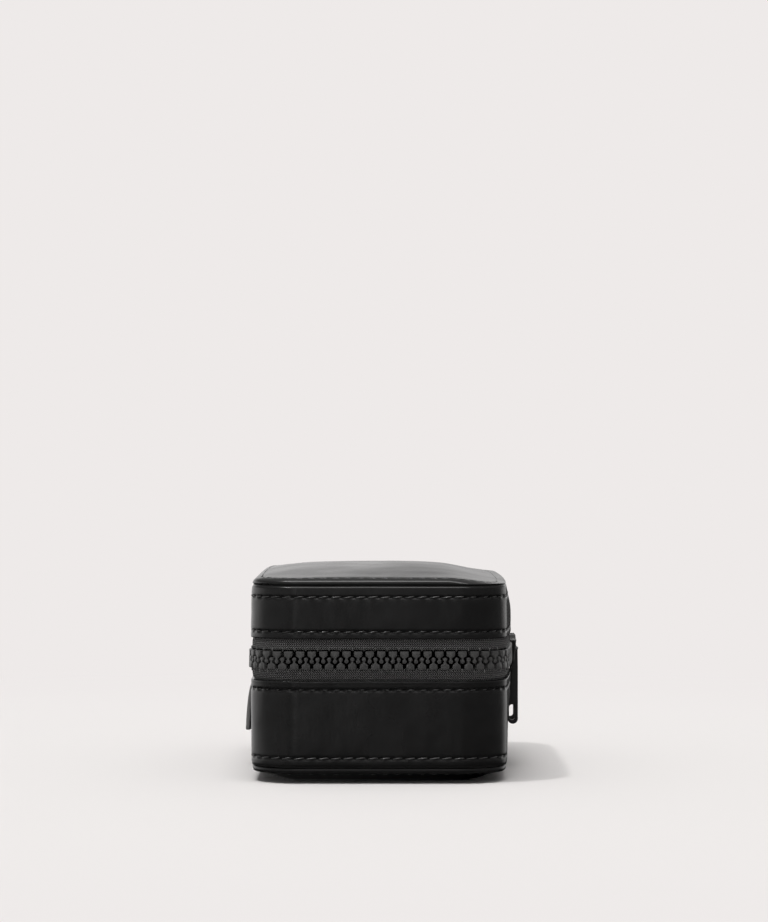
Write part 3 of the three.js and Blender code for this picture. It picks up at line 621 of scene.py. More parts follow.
def top_height(inset, x, y):
    """Height of the lid's padded top above its seam. Its front edge is drawn down towards the zip."""
    front = smoothstep(-y, 20, 36)
    edge = TOP_EDGE + (TOP_FRONT_EDGE - TOP_EDGE) * front
    edge = edge * (1 - np.exp(-np.maximum(inset, 0) / (0.75 + 2 * front)))
    across = np.where(y > 0, 1 - np.abs(y / HALF_WIDTH) ** 3.4, (1 - np.abs(y / (HALF_WIDTH + 1)) ** 3.2))
    across = np.clip(across, 0, 1) ** np.where(y > 0, 1.0, 2.1)
    along = np.clip(1 - np.abs(x / HALF_LENGTH) ** 1.9, 0, 1)
    return edge + TOP_DOME * across * along


def bottom_height(inset, x, y):
    """Height of the base's padded bottom below its seam."""
    edge = BOTTOM_EDGE * (1 - np.exp(-np.maximum(inset, 0) / 0.32))
    return edge + (BOTTOM_SEAM_Z - BOTTOM_EDGE) * smoothstep(inset, 0.5, 12.5)


def inset_rings(seam_z, insets, scales):
    """Rings that step inward from the outline, then shrink to its middle."""
    bow = float(bow_at(seam_z))
    points, normals = plan(ROUND, bow)
    rings = [points - normals * inset for inset in insets]
    rings += [rings[-1] * scale for scale in scales]
    return np.array(rings)


def padded_panel(name, body, seam_z, up, height, stitch_inset, node, node_core):
    """A soft leather panel that closes the case's top or bottom. height gives its rise above the seam."""
    insets = np.concatenate([np.linspace(0.0, 4.4, 19), np.linspace(5.0, 12.5, 11)])
    scales = np.linspace(1, 0, 16)[1:-1] ** 0.8
    flat = inset_rings(seam_z, insets, scales)
    inset = np.zeros(flat.shape[:2])
    inset[: len(insets)] = insets[:, None]
    inset[len(insets) :] = 13 + (1 - scales[:, None]) * 20
    rise = height(inset, flat[..., 0], flat[..., 1])
    surface = np.concatenate([flat, np.zeros(flat.shape[:2] + (1,))], -1)
    loose = smoothstep(inset, 0.5, 9)
    rise += loose * (0.22 * bumps(surface, 30.0, 5 + up) + 0.07 * bumps(surface, 9.0, 7 + up))
    rise += 0.05 * bumps(surface, 3.0, 9) * smoothstep(inset, 0.2, 2) * (1 - smoothstep(inset, 4, 7))
    distance = np.broadcast_to(ROUND, inset.shape)
    away = stitch_inset - inset
    across = smoothstep(np.abs(flat[..., 0]), CORNER_X - 8, CORNER_X)
    rise -= (0.12 + 0.3 * across) * stitch_dent(distance, away)
    z = seam_z + up * rise
    if up < 0:
        z = np.maximum(z, 0.0)
    points = np.concatenate([flat, z[..., None]], -1)
    normals = plan(ROUND, float(bow_at(seam_z)))[1]
    bulge = 0.18 * np.sin(np.clip(inset / 1.2, 0, 1) * math.pi)
    points[: len(insets), :, :2] += normals[None] * bulge[: len(insets), :, None]
    tuck = []
    for inward, back in ((2.2, 0.1), (1.1, 0.3), (0.45, 0.28)):
        level = np.full((COLUMNS, 1), seam_z - up * back)
        tuck.append(np.concatenate([flat[0] - normals * inward, level], -1))
    rings = np.concatenate([np.array(tuck), points])
    centre_z = seam_z + up * height(np.array([40.0]), np.zeros(1), np.zeros(1))[0]
    faces = grid_faces(len(rings), COLUMNS) + fan_faces(len(rings), COLUMNS)
    if up < 0:
        faces = [face[::-1] for face in faces]
    everything = np.concatenate([rings.reshape(-1, 3), [[0, 0, max(centre_z, 0.0)]]])
    piece = finish_mesh(name, everything, faces, LEATHER_BLACK, "black_leather")
    wear = np.zeros(rings.shape[:2])
    wear[2:8] = PANEL_WEAR
    # the gaps beside the stitches are marked for painted shade
    painted_stitch_shade = np.concatenate([np.zeros((len(tuck), COLUMNS)), stitch_gap(distance, away)])
    paint(piece, "wear", np.append((wear * wear_strength(rings)).ravel(), 0))
    paint(piece, "painted_stitch_shade", np.append(painted_stitch_shade.ravel(), 0))
    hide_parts(node, node_core)
    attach(piece, body)


def panel_stitches(seam_z, up, height, inset):
    """Stitches along a panel's edge, lying on its slope."""
    bow = float(bow_at(seam_z))
    parts = []
    for i in range(STITCHES_ROUND):
        ends = i * STITCH_STEP + np.array([PANEL_STITCH_INSET, STITCH_STEP - PANEL_STITCH_INSET])
        points, normals = plan(ends, bow)
        lean = np.array([PANEL_STITCH_LEAN, -PANEL_STITCH_LEAN]) + random.uniform(-0.05, 0.05)
        points = points - normals * (inset + lean)[:, None]
        rise = height(inset + lean, points[:, 0], points[:, 1]) - PANEL_STITCH_DEPTH
        z = np.maximum(seam_z + up * rise, 0.35)
        ends = np.concatenate([points, z[:, None]], -1)
        normal = np.array([*(normals.mean(0) * 0.45), up * 0.9])
        parts.append(stitch_mesh(ends[0], ends[1], normal / np.linalg.norm(normal)))
    return parts


# ---- Zip ----
ZIP_REACH = PERIMETER / 2 - ZIP_END_X
TOOTH_HALF_THICKNESS = 1.22
CHAIN_Z = ZIP_Z - 0.35  # the chain sags a little under its own weight
CORD_HEIGHT = 3.2  # from the chain's middle to the middle of the cord along the tape's edge
CORD_REACH = 0.5


def spread_at(s):
    """How far the sliders hold each row off the middle line, s from the middle of the front."""
    s = np.abs(np.asarray(s, float))
    return np.where(s < SPREAD_LENGTH, SPREAD * (1 + np.cos(math.pi * s / SPREAD_LENGTH)) / 2, 0.0)


def chain_frame(s):
    """Point of the zip's outline s from the middle of the front, with the directions along it and outward."""
    points, normals = plan(np.array([MIDDLE + s]), ZIP_BOW)
    x, y = normals[0]
    return points[0], np.array([-y, x]), normals[0]


def zip_tape(side, name, body, node):
    """The woven tape of one side, from behind the leather to the corded edge under the teeth."""
    section = [  # height from the middle of the zip, and offset from the wall's outer face
        (11.0, -1.75), (7.6, -1.6), (6.95, -1.2), (6.4, -0.6), (5.8, -0.2), (5.0, -0.02), (4.2, 0.02),
        (3.5, 0.02), (3.3, 0.13), (3.1, 0.16), (2.85, 0.06), (2.7, -0.2), (2.85, -0.5), (3.1, -0.6),
        (3.3, -0.55), (3.5, -0.5), (5.0, -0.6), (5.8, -0.8), (6.4, -1.25), (7.1, -1.9), (11.0, -2.2),
    ]
    stations = np.linspace(-ZIP_REACH, ZIP_REACH, 720)
    rings, along, across = [], [], []
    for height, offset in section:
        near = smoothstep(6.3 - height, 0, 2.8)
        z = ZIP_Z + side * (height + spread_at(stations) * near)
        rows = on_wall(MIDDLE + stations, ZIP_Z + side * height, offset)
        rows[:, 2] = z
        rings.append(rows)
        along.append(stations)
        across.append(np.full(len(stations), height))
    rings = np.array(rings)
    rings[5:9, :, 2] += side * 0.05 * bumps(rings[5:9], 6.0, 12)
    faces = grid_faces(len(rings), len(stations), wrap_rows=True, wrap_columns=False)
    count = len(stations)
    faces.append(tuple(i * count for i in range(len(rings))))
    faces.append(tuple(i * count + count - 1 for i in range(len(rings)))[::-1])
    if side > 0:
        faces = [face[::-1] for face in faces]
    piece = finish_mesh(name, rings, faces, TWILL, "zip_tape")
    paint(piece, "along", along)
    paint(piece, "across", across)
    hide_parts(node)
    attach(piece, body)


def tooth_outline():
    """One tooth seen from the front: foot, shoulders, neck and round head."""
    right = [(1.13, -2.74), (1.26, -2.62), (1.25, -1.5), (1.06, -1.2)]
    right += [(0.6, -0.94), (0.33, -0.62), (0.31, -0.36)]
    head = [(0.65 * math.cos(a), 0.3 + 0.65 * math.sin(a)) for a in np.radians(np.linspace(-54, 234, 13))]
    left = [(-x, y) for x, y in reversed(right)]
    return np.array(right + head + left)


def inset_outline(outline, inset):
    """Moves an anticlockwise outline inward."""
    following, previous = np.roll(outline, -1, 0), np.roll(outline, 1, 0)
    along = following - previous
    along /= np.linalg.norm(along, axis=1)[:, None]
    return outline - np.stack([along[:, 1], -along[:, 0]], -1) * inset


def solid_from_outline(outline, half, bevel=0.15):
    """A plate of that outline with rounded edges, centred on height 0. Points are (x, y, height)."""
    layers = [(-half, bevel), (-half + bevel * 0.3, bevel * 0.3), (-half + bevel, 0)]
    layers += [(-h, inset) for h, inset in reversed(layers)]
    rings = []
    for h, inset in layers:
        rings.append(np.concatenate([inset_outline(outline, inset), np.full((len(outline), 1), h)], -1))
    return np.concatenate(rings), tube_faces(len(rings), len(outline))


def zip_teeth(side, name, body, node):
    """One row of moulded teeth. The lid's stand half a pitch along from the base's."""
    tooth, faces = solid_from_outline(tooth_outline(), TOOTH_HALF_THICKNESS)
    first = PITCH / 2 if side > 0 else 0.0
    count = int((ZIP_REACH - first - PITCH / 2) / PITCH)
    parts = []
    for i in range(-count - 1 if side > 0 else -count, count + 1):
        s = first + i * PITCH
        point, along, normal = chain_frame(s)
        x = -side * tooth[:, 0] * (1 + random.uniform(-0.03, 0.03))
        height = -side * (tooth[:, 1] - spread_at(s)) + random.uniform(-0.03, 0.03)
        out = tooth[:, 2] + CHAIN_OFFSET + random.uniform(-0.04, 0.04)
        out = out + x * random.uniform(-0.03, 0.03) + tooth[:, 1] * random.uniform(-0.02, 0.02)
        flat = point + along * x[:, None] + normal * out[:, None]
        parts.append((np.concatenate([flat, (CHAIN_Z + height)[:, None]], -1), faces))
    piece = finish_mesh(name, *join(parts), RESIN, "zip_resin", outward=True, sharp=28)
    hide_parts(node)
    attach(piece, body)


def cord_loops(side, name, body):
    """The threads that bind the tape's cord, seen between the feet of the teeth."""
    bends, around = 7, 8
    loop = []
    for t in np.linspace(0, math.pi, bends):
        width, depth = 0.2 * math.sin(t) ** 0.4, 0.25 * math.sin(t) ** 0.4
        height = CORD_HEIGHT + CORD_REACH * math.cos(t)
        loop += [(width * math.cos(a), height, 0.15 + depth * math.sin(a)) for a in turns(around)]
    faces = grid_faces(bends, around)
    first = 0.0 if side > 0 else PITCH / 2
    count = int((ZIP_REACH - first - PITCH) / PITCH)
    parts = []
    for i in range(-count, count + 1):
        s = first + i * PITCH
        point, along, normal = chain_frame(s)
        shifted = np.array(loop) + (random.uniform(-0.08, 0.08), random.uniform(-0.06, 0.06), 0)
        flat = point + along * shifted[:, :1] + normal * shifted[:, 2:]
        height = CHAIN_Z + side * (shifted[:, 1] + spread_at(s))
        parts.append((np.concatenate([flat, height[:, None]], -1), faces))
    piece = finish_mesh(name, *join(parts), CORD_THREAD, "zip_tape", outward=True)
    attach(piece, body)


# ---- Sliders and pulls ----
SLIDER_START = 0.5  # from the middle of the front to each slider's near end
SLIDER_LENGTH = 13.2
SHOULDER = 5.4  # half the plate's height at its wide end
SHOULDER_RADIUS = 2.0
WAIST = 4.15  # and at its narrow end
UPPER_HALF = 0.78  # the slider's height above the chain's middle, as a share of its depth below
PLATE_OUT = 1.55  # from the chain's middle layer to the middle of each plate
PLATE_HALF = 0.27
RIM_HALF = 0.28  # of the plates' turned-in edges
RIM_FROM = 0.65
RIM_TO = 1.45
WEDGE = [(0.4, -0.4), (1.6, -0.4), (2.9, 0.0), (1.6, 0.4), (0.4, 0.4)]  # what parts the two rows, from above
WEDGE_HALF = 1.4
BAR_U = 6.7  # the bar that holds the pull, along the slider from its near end
BAR_OUT = 2.8  # and outward from the chain's middle layer
ZIP_RADIUS, ZIP_CENTRE_Y, _ = front_arc(ZIP_BOW)


def slider_place(points, side):
    """From the slider's own (along the zip from its near end, up, outward) to the row frame."""
    points = np.asarray(points, float)
    turn = side * (SLIDER_START + SLIDER_LENGTH / 2) / ZIP_RADIUS
    u = side * (points[:, 0] - SLIDER_LENGTH / 2)
    out = ZIP_RADIUS + CHAIN_OFFSET + points[:, 2]
    x = u * math.cos(turn) + out * math.sin(turn)
    y = ZIP_CENTRE_Y + u * math.sin(turn) - out * math.cos(turn)
    return np.stack([x, y, ZIP_Z + points[:, 1]], -1)


def arc(centre, radius, first, last, count=8):
    """Points on an arc, angles in degrees."""
    return [
        (centre[0] + radius * math.cos(math.radians(a)), centre[1] + radius * math.sin(math.radians(a)))
        for a in np.linspace(first, last, count)
    ]


def slider_plate_outline():
    """The shield shape of a slider's plate: round shoulders, then a narrower waist at the closed end."""
    top = [(SLIDER_LENGTH, WAIST - 0.5), (SLIDER_LENGTH - 0.5, WAIST), (8.0, WAIST)]
    top += [(8.0 - 3.8 * t, WAIST + (SHOULDER - WAIST) * smoothstep(t, 0, 1)) for t in (0.25, 0.5, 0.75, 1.0)]
    top += arc((SHOULDER_RADIUS, SHOULDER - SHOULDER_RADIUS), SHOULDER_RADIUS, 90, 180)
    bottom = [(x, -y) for x, y in reversed(top)]
    return np.array(top + bottom)


def bar_along(path, width, thick):
    """A rounded bar swept along a path of (u, out) points. Its width lies across the zip."""
    path = np.array(path, float)
    tangent = np.gradient(path, axis=0)
    tangent /= np.linalg.norm(tangent, axis=1)[:, None]
    around = 12
    points = []
    for (u, out), (tu, tout) in zip(path, tangent):
        for a in turns(around):
            w = width / 2 * signed_power(math.cos(a), 0.6)
            n = thick / 2 * signed_power(math.sin(a), 0.6)
            points.append((u - tout * n, w, out + tu * n))
    return points, tube_faces(len(path), around)


def slider_plate(out):
    """One shield plate, slightly domed. The outer one's top edge stands further out."""
    points, faces = solid_from_outline(slider_plate_outline(), PLATE_HALF, 0.2)
    points[:, 1] *= np.where(points[:, 1] > 0, UPPER_HALF, 1.0)
    points[:, 2] += out + 0.16 * (1 - (points[:, 1] / SHOULDER) ** 2) * math.copysign(1, out)
    if out > 0:
        points[:, 2] += 0.7 * smoothstep(points[:, 1], 1.0, 2.2) * (points[:, 2] > out)
    return points, faces


def slider_rim(edge, out):
    """The turned-in edge of a plate: edge is 1 for its top and -1 for its bottom."""
    share = UPPER_HALF if edge > 0 else 1.0
    line = [(u, edge * (w * share - RIM_HALF)) for u, w in slider_plate_outline() if w > 0 and u > 1.2]
    rim = []
    for u, w in sorted(line):
        for dw, dz in ((-RIM_HALF, RIM_FROM), (RIM_HALF, RIM_FROM), (RIM_HALF, RIM_TO), (-RIM_HALF, RIM_TO)):
            rim.append((u, w + dw, out * dz))
    return rim, tube_faces(len(line), 4)


def slider_piece(side, label):
    """Two shield plates with turned-in edges, a wedge between them, and the arch that holds the pull."""
    parts = [slider_plate(PLATE_OUT), slider_plate(-PLATE_OUT)]
    parts += [slider_rim(edge, out) for edge in (1, -1) for out in (1, -1)]
    parts.append(solid_from_outline(np.array(WEDGE), WEDGE_HALF, 0.05))
    rise = [(BAR_U - 3.9, 1.5), (BAR_U - 3.85, 2.1), (BAR_U - 3.4, 2.6), (BAR_U - 2.6, BAR_OUT)]
    arch = rise + [(2 * BAR_U - u, out) for u, out in reversed(rise)]
    parts.append(bar_along(arch, 0.9, 0.5))
    points, faces = join(parts)
    placed = slider_place(points, side)
    piece = finish_mesh(f"zip_slider_{label}", placed, faces, LACQUER, "black_zinc", outward=True, sharp=35)
    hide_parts(f"slider_{label}")
    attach(piece, f"slider_{label}")


def plate_with_holes(outlines, half, bevel):
    """A plate bounded by the first outline, with the others as holes, its edges rounded: (points, faces)."""
    curve = bpy.data.curves.new("outline", "CURVE")
    curve.dimensions = "2D"
    curve.fill_mode = "BOTH"
    curve.extrude = half - bevel
    curve.bevel_depth = bevel
    curve.offset = -bevel
    curve.bevel_resolution = 3
    for outline in outlines:
        spline = curve.splines.new("POLY")
        spline.points.add(len(outline) - 1)
        for point, (x, y) in zip(spline.points, outline):
            point.co = (x, y, 0, 1)
        spline.use_cyclic_u = True
    holder = bpy.data.objects.new("outline", curve)
    bpy.context.scene.collection.objects.link(holder)
    bpy.context.view_layer.update()
    mesh = holder.evaluated_get(bpy.context.evaluated_depsgraph_get()).to_mesh()
    points = np.array([v.co for v in mesh.vertices])
    faces = [tuple(p.vertices) for p in mesh.polygons]
    holder.evaluated_get(bpy.context.evaluated_depsgraph_get()).to_mesh_clear()
    bpy.data.objects.remove(holder)
    bpy.data.curves.remove(curve)
    return points, faces


# The pull's outline, from its bar: (outward, up).
PULL_HALF_THICKNESS = 0.8
PULL_END = -24.0
PULL_OUTER = 0.5
PULL_INNER_HIGH = -1.45  # where its inner side starts below the slider
PULL_INNER_LOW = -2.75  # and where it ends
PULL_EYE = 0.6  # radius of the part round the bar
PULL_RIM = 0.9
PULL_THINNING = 0.22  # how much thinner than average the rim is on the slot's inner side
PULL_SLOT = 5.2  # from the end to the slot's top


def pull_piece(side, label):
    """The pull: closed round the bar, with a slim body and a slot near its round bottom."""
    radius = (PULL_OUTER - PULL_INNER_LOW) / 2
    middle = (PULL_OUTER + PULL_INNER_LOW) / 2
    low = PULL_END + radius
    outline = [(PULL_INNER_HIGH, -SHOULDER - 0.3)]
    outline += arc((middle, low), radius, 180, 360, 20)
    outline += [(PULL_OUTER, -6.0), (0.42, -0.6)]
    outline += arc((0, 0), PULL_EYE, -40, 190, 16)
    inner = radius - PULL_RIM + PULL_THINNING
    slot = arc((middle - PULL_THINNING, low + 0.6), inner, 180, 360, 16)
    slot += arc((middle - PULL_THINNING, low + PULL_SLOT - radius), inner, 0, 180, 16)
    points, faces = plate_with_holes([outline, slot], PULL_HALF_THICKNESS, 0.16)
    placed = np.stack([BAR_U + points[:, 2], points[:, 1], BAR_OUT + points[:, 0]], -1)
    placed = slider_place(placed, side)
    piece = finish_mesh(f"zip_pull_{label}", placed, faces, LACQUER, "black_zinc", outward=True, sharp=35)
    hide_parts(f"slider_{label}_pull")
    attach(piece, f"slider_{label}_pull")


def rounded_rectangle(low_x, low_y, high_x, high_y, corner, steps):
    """An anticlockwise rectangle with round corners."""
    left, right, bottom, top = low_x + corner, high_x - corner, low_y + corner, high_y - corner
    outline = []
    for i, centre in enumerate([(left, bottom), (right, bottom), (right, top), (left, top)]):
        outline += arc(centre, corner, 180 + 90 * i, 270 + 90 * i, steps)
    return np.array(outline)


def zip_stop(node, body):
    """A moulded block that ends a row beside the hinge."""
    low, high = box(node)
    outline = rounded_rectangle(low.x, low.z, high.x, high.z, 0.45, 5)
    points, faces = solid_from_outline(outline, (high.y - low.y) / 2, 0.2)
    placed = np.stack([points[:, 0], (low.y + high.y) / 2 - points[:, 2], points[:, 1]], -1)
    piece = finish_mesh(f"{node}_moulded", placed, faces, RESIN, "zip_resin", outward=True, sharp=35)
    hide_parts(node)
    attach(piece, body)


# ---- Grip tab and hinge ----
TAB_HALF_WIDTH = 6.0
TAB = 1.4  # its thickness
TAB_TOP_Z = 30.4
TAB_SEWN_Z = 27.6  # where its sewn part ends
TAB_LENGTH = 16.4  # of its free part
TAB_STAND_OFF = 1.75  # how far the free part comes off the wall
TAB_BEND = 4.0
TAB_TURN = math.radians(-7)  # its twist at the free end
TAB_SEAM = 1.5  # from its edges to its stitches
TAB_STITCH_STEP = 2.6
TAB_STITCH_GAP = 0.5


def tab_point(x, depth, down):
    """A point on the grip tab: x across it, depth from its back face, down from the end of its sewn part."""
    hanging = max(down, 0)
    turn = TAB_TURN * hanging / TAB_LENGTH
    px = x * math.cos(turn) - (depth - TAB / 2) * math.sin(turn)
    py = x * math.sin(turn) + (depth - TAB / 2) * math.cos(turn) + TAB / 2
    py += TAB_STAND_OFF * (1 - math.exp(-hanging / TAB_BEND))
    return px, HALF_WIDTH + GAP + py, TAB_SEWN_Z - down


def grip_tab():
    """A folded leather tab, sewn on below the base's edge. Its free part stands off the wall."""
    downs = np.linspace(TAB_SEWN_Z - TAB_TOP_Z, TAB_LENGTH, 60)
    around = 40
    rings = []
    for down in downs:
        end = min(down - downs[0], downs[-1] - down)
        shrink = 0.3 * math.exp(-end / 0.25)
        half, thick = TAB_HALF_WIDTH - shrink, TAB - shrink
        ring = []
        for a in turns(around):
            x = half * signed_power(math.cos(a), 0.16)
            y = thick / 2 * signed_power(math.sin(a), 0.3)
            groove = 0.12 * math.exp(-(((abs(x) - half + TAB_SEAM) / 0.45) ** 2))
            ring.append(tab_point(x, TAB / 2 + y - math.copysign(groove, y), down))
        rings.append(ring)
    rings = np.array(rings)
    faces = tube_faces(len(rings), around)
    # its leather is painted paler, as painted light
    piece = finish_mesh("grip_tab_leather", rings, faces, TAB_LEATHER_PAINTED_LIT, "black_leather", outward=True)
    wear = 0.8 * smoothstep(np.abs(rings[..., 0]), TAB_HALF_WIDTH - 0.6, TAB_HALF_WIDTH - 0.1)
    wear[-3:] = 0.6
    paint(piece, "wear", wear)
    paint(piece, "painted_stitch_shade", np.zeros(wear.shape))
    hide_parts("grip_tab")
    thread = finish_mesh("grip_tab_stitches", *join(tab_stitches()), THREAD, "black_leather")
    for bending in (piece, thread):
        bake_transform(bending)


def tab_stitches():
    """A row of stitches along each side of the tab and across its free end, on both faces."""
    parts = []
    inset = TAB_HALF_WIDTH - TAB_SEAM
    width = 2 * inset / 3
    for face, normal in ((TAB - 0.15, 1), (0.15, -1)):
        rows = []
        for x in (-inset, inset):
            for i in range(int((TAB_LENGTH + 1.0) / TAB_STITCH_STEP)):
                down = -1.6 + i * TAB_STITCH_STEP
                rows.append((x, down, x, down + TAB_STITCH_STEP - TAB_STITCH_GAP))
        for i in range(3):
            x = -inset + 0.2 + i * width
            rows.append((x, TAB_LENGTH - TAB_SEAM, x + width - TAB_STITCH_GAP, TAB_LENGTH - TAB_SEAM))
        for x, down, end_x, end_down in rows:
            start, end = tab_point(x, face, down), tab_point(end_x, face, end_down)
            parts.append(stitch_mesh(start, end, (0, normal, 0), 0.16))
    return parts


def hinge_strip(node, name, material, slot, bulge):
    """A strip of hinge leather or lining across the line where the lid turns."""
    low, high = box(node)
    columns, rows = 70, 40
    middle, half = (low.z + high.z) / 2, (high.z - low.z) / 2
    xs = np.linspace(-HINGE_REACH, HINGE_REACH, columns)
    full = 1 - smoothstep(np.abs(xs), HINGE_HALF_LENGTH - 2.5, HINGE_HALF_LENGTH + 0.8)
    sheets = []
    for y in (high.y, low.y):
        sheet = np.zeros((rows, columns, 3))
        sheet[..., 0] = xs
        sheet[..., 2] = np.linspace(low.z, high.z, rows)[:, None]
        swell = bulge * full * np.clip(1 - ((sheet[..., 2] - middle) / min(half, 6.0)) ** 2, 0, 1)
        sheet[..., 1] = y + swell
        sheet[..., 1] += 0.12 * bumps(sheet * np.array([1, 1, 0.25]), 5.0, 21) * (swell > 0)
        sheets.append(sheet)
    count = rows * columns
    faces = [face[::-1] for face in grid_faces(rows, columns, wrap_columns=False)]
    faces += [tuple(count + i for i in face[::-1]) for face in faces]
    border = [i for i in range(columns)] + [r * columns + columns - 1 for r in range(1, rows)]
    border += [(rows - 1) * columns + c for c in reversed(range(columns - 1))]
    border += [r * columns for r in reversed(range(1, rows - 1))]
    faces += [(a, b, count + b, count + a) for a, b in zip(border, border[1:] + border[:1])]
    piece = finish_mesh(name, sheets, faces, material, slot, outward=True)
    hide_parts(node)
    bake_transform(piece)


# ---- Lining and fittings ----
LINING_WRAP = -2.35  # how far out the wall lining is wrapped over its board, from the wall's outline
ELASTIC_RADIUS = 0.75
ELASTIC_RIPPLE = 0.08


def lining_wall(node, name, body, free_up):
    """The lined inner wall; its free edge is wrapped outward over the board behind it."""
    low, high = box(node)
    inner = -HALF_WIDTH + high.y - 0.8
    free, fixed = (high.z, low.z) if free_up else (low.z, high.z)
    sign = 1 if free_up else -1
    section = [(inner, fixed), (inner + 0.06, (fixed + free) / 2), (inner - 0.05, free - sign * 1.6)]
    section += [
        ((inner + 0.75) - 0.75 * math.cos(a), free - sign * 0.3 + sign * 0.75 * math.sin(a))
        for a in np.linspace(0.2, math.pi / 2, 6)
    ]
    section += [(LINING_WRAP - 0.5, free + sign * 0.42), (LINING_WRAP, free + sign * 0.2)]
    section += [(LINING_WRAP, free + sign * 0.05), (-4.2, free + sign * 0.08)]
    section += [(-4.4, free - sign * 0.5), (-4.5, fixed)]
    rings = np.array([
        on_wall(ROUND[::2], min(max(z, BOTTOM_SEAM_Z), TOP_SEAM_Z), offset) for offset, z in section
    ])
    rings[..., 2] += 0.05 * bumps(rings, 12.0, 31)
    faces = grid_faces(len(rings), rings.shape[1], wrap_rows=True)
    piece = finish_mesh(name, rings, faces, SUEDE, "suede_lining", outward=True)
    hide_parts(node)
    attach(piece, body)


def lining_pad(node, name, body, up, swell):
    """A lined pad that fills the case's outline, crowned on its open side."""
    low, high = box(node)
    offset = high.y - HALF_WIDTH
    face, back = (high.z, low.z) if up else (low.z, high.z)
    sign = 1 if up else -1
    steps = [(0.05, 0.0), (0.3, 0.65), (1.2, 1.0), (3, 1.12), (6, 1.2), (8, 1.22)]
    columns = ROUND[::3]
    points, normals = plan(columns, float(bow_at((low.z + high.z) / 2)))

    def ring_at(inset, level):
        return np.concatenate([points + normals * (offset - inset), np.full((len(columns), 1), level)], -1)

    rings = [ring_at(1.0, back)]
    for inset, share in steps:
        level = back + sign * abs(face - back) * min(share, 1) + sign * swell * max(share - 1, 0) / 0.22
        rings.append(ring_at(inset, level))
    rings += [rings[-1] * (scale, scale, 1) for scale in np.linspace(1, 0, 9)[1:-1]]
    rings = np.array(rings)
    rings[4:, :, 2] += 0.1 * bumps(rings[4:], 14.0, 33)
    everything = np.concatenate([rings.reshape(-1, 3), [rings[-1].mean(0)]])
    faces = grid_faces(len(rings), len(columns)) + fan_faces(len(rings), len(columns))
    faces.append(tuple(range(len(columns)))[::-1])
    piece = finish_mesh(name, everything, faces, SUEDE, "suede_lining", outward=True)
    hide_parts(node)
    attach(piece, body)


def ring_roll(node):
    """A stuffed roll, pinched at its ends. Rings stand between it and its neighbour."""
    low, high = box(node)
    x, half = (low.x + high.x) / 2, (high.x - low.x) / 2
    shoulder = high.z - half
    around, along = 40, 64
    rings = []
    for y in np.linspace(low.y, high.y, along):
        end = min(y - low.y, high.y - y)
        pinch = 1 - 0.16 * math.exp(-end / 1.3) - (0.35 if end < 0.01 else 0)
        ring = []
        for a in turns(around):
            c, s = math.cos(a), math.sin(a)
            px = half * 0.985 * signed_power(c, 0.55 if s < 0 else 0.85) * pinch
            if s < 0:
                pz = shoulder + (shoulder - low.z) * max(s * 1.25, -1) * (1 if pinch > 0.7 else 0.9)
            else:
                pz = shoulder + half * s * pinch
            ring.append((x + px, y, pz))
        rings.append(ring)
    rings = np.array(rings)
    away = (rings - (x, 0, shoulder)) * (1, 0, 1)
    away /= np.maximum(np.linalg.norm(away, axis=-1), 1e-6)[..., None]
    wrinkle = 0.16 * bumps(rings * (0.6, 1, 0.6), 3.4, int(x)) + 0.1 * bumps(rings, 9.0, 41)
    rings = rings + away * np.minimum(wrinkle, 0.08)[..., None]
    rings[..., 2] = np.maximum(rings[..., 2], low.z)
    faces = tube_faces(along, around)
    piece = finish_mesh(f"{node}_stuffed", rings, faces, SUEDE, "suede_lining", outward=True)
    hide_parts(node)
    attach(piece, "base")


def divider(node):
    """A board wrapped in lining, with a round top edge and a seam just below it."""
    low, high = box(node)
    across_x = high.x - low.x < high.y - low.y
    thin = (high.x - low.x if across_x else high.y - low.y) / 2
    start, end = (low.y, high.y) if across_x else (low.x, high.x)
    middle = (low.x + high.x) / 2 if across_x else (low.y + high.y) / 2
    section = [(-thin, low.z), (-thin, high.z - 3.0), (-thin + 0.12, high.z - 2.4), (-thin, high.z - 1.8)]
    section += [(-thin * math.cos(a), high.z - thin + thin * math.sin(a)) for a in np.linspace(0, math.pi, 9)]
    section += [(thin, high.z - 1.8), (thin - 0.12, high.z - 2.4), (thin, high.z - 3.0), (thin, low.z)]
    stations = np.linspace(start, end, 48)
    rings = np.zeros((len(stations), len(section), 3))
    for i, s in enumerate(stations):
        for j, (side, z) in enumerate(section):
            rings[i, j] = (middle + side, s, z) if across_x else (s, middle + side, z)
    sag = 0.12 * bumps(rings * np.array([1, 1, 0]), 8.0, 51)
    rings[..., 2] += np.where(rings[..., 2] > high.z - 1, np.minimum(sag, 0.0), 0)
    faces = tube_faces(len(stations), len(section))
    piece = finish_mesh(f"{node}_wrapped", rings, faces, SUEDE, "suede_lining", outward=True, sharp=50)
    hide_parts(node)
    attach(piece, "base")


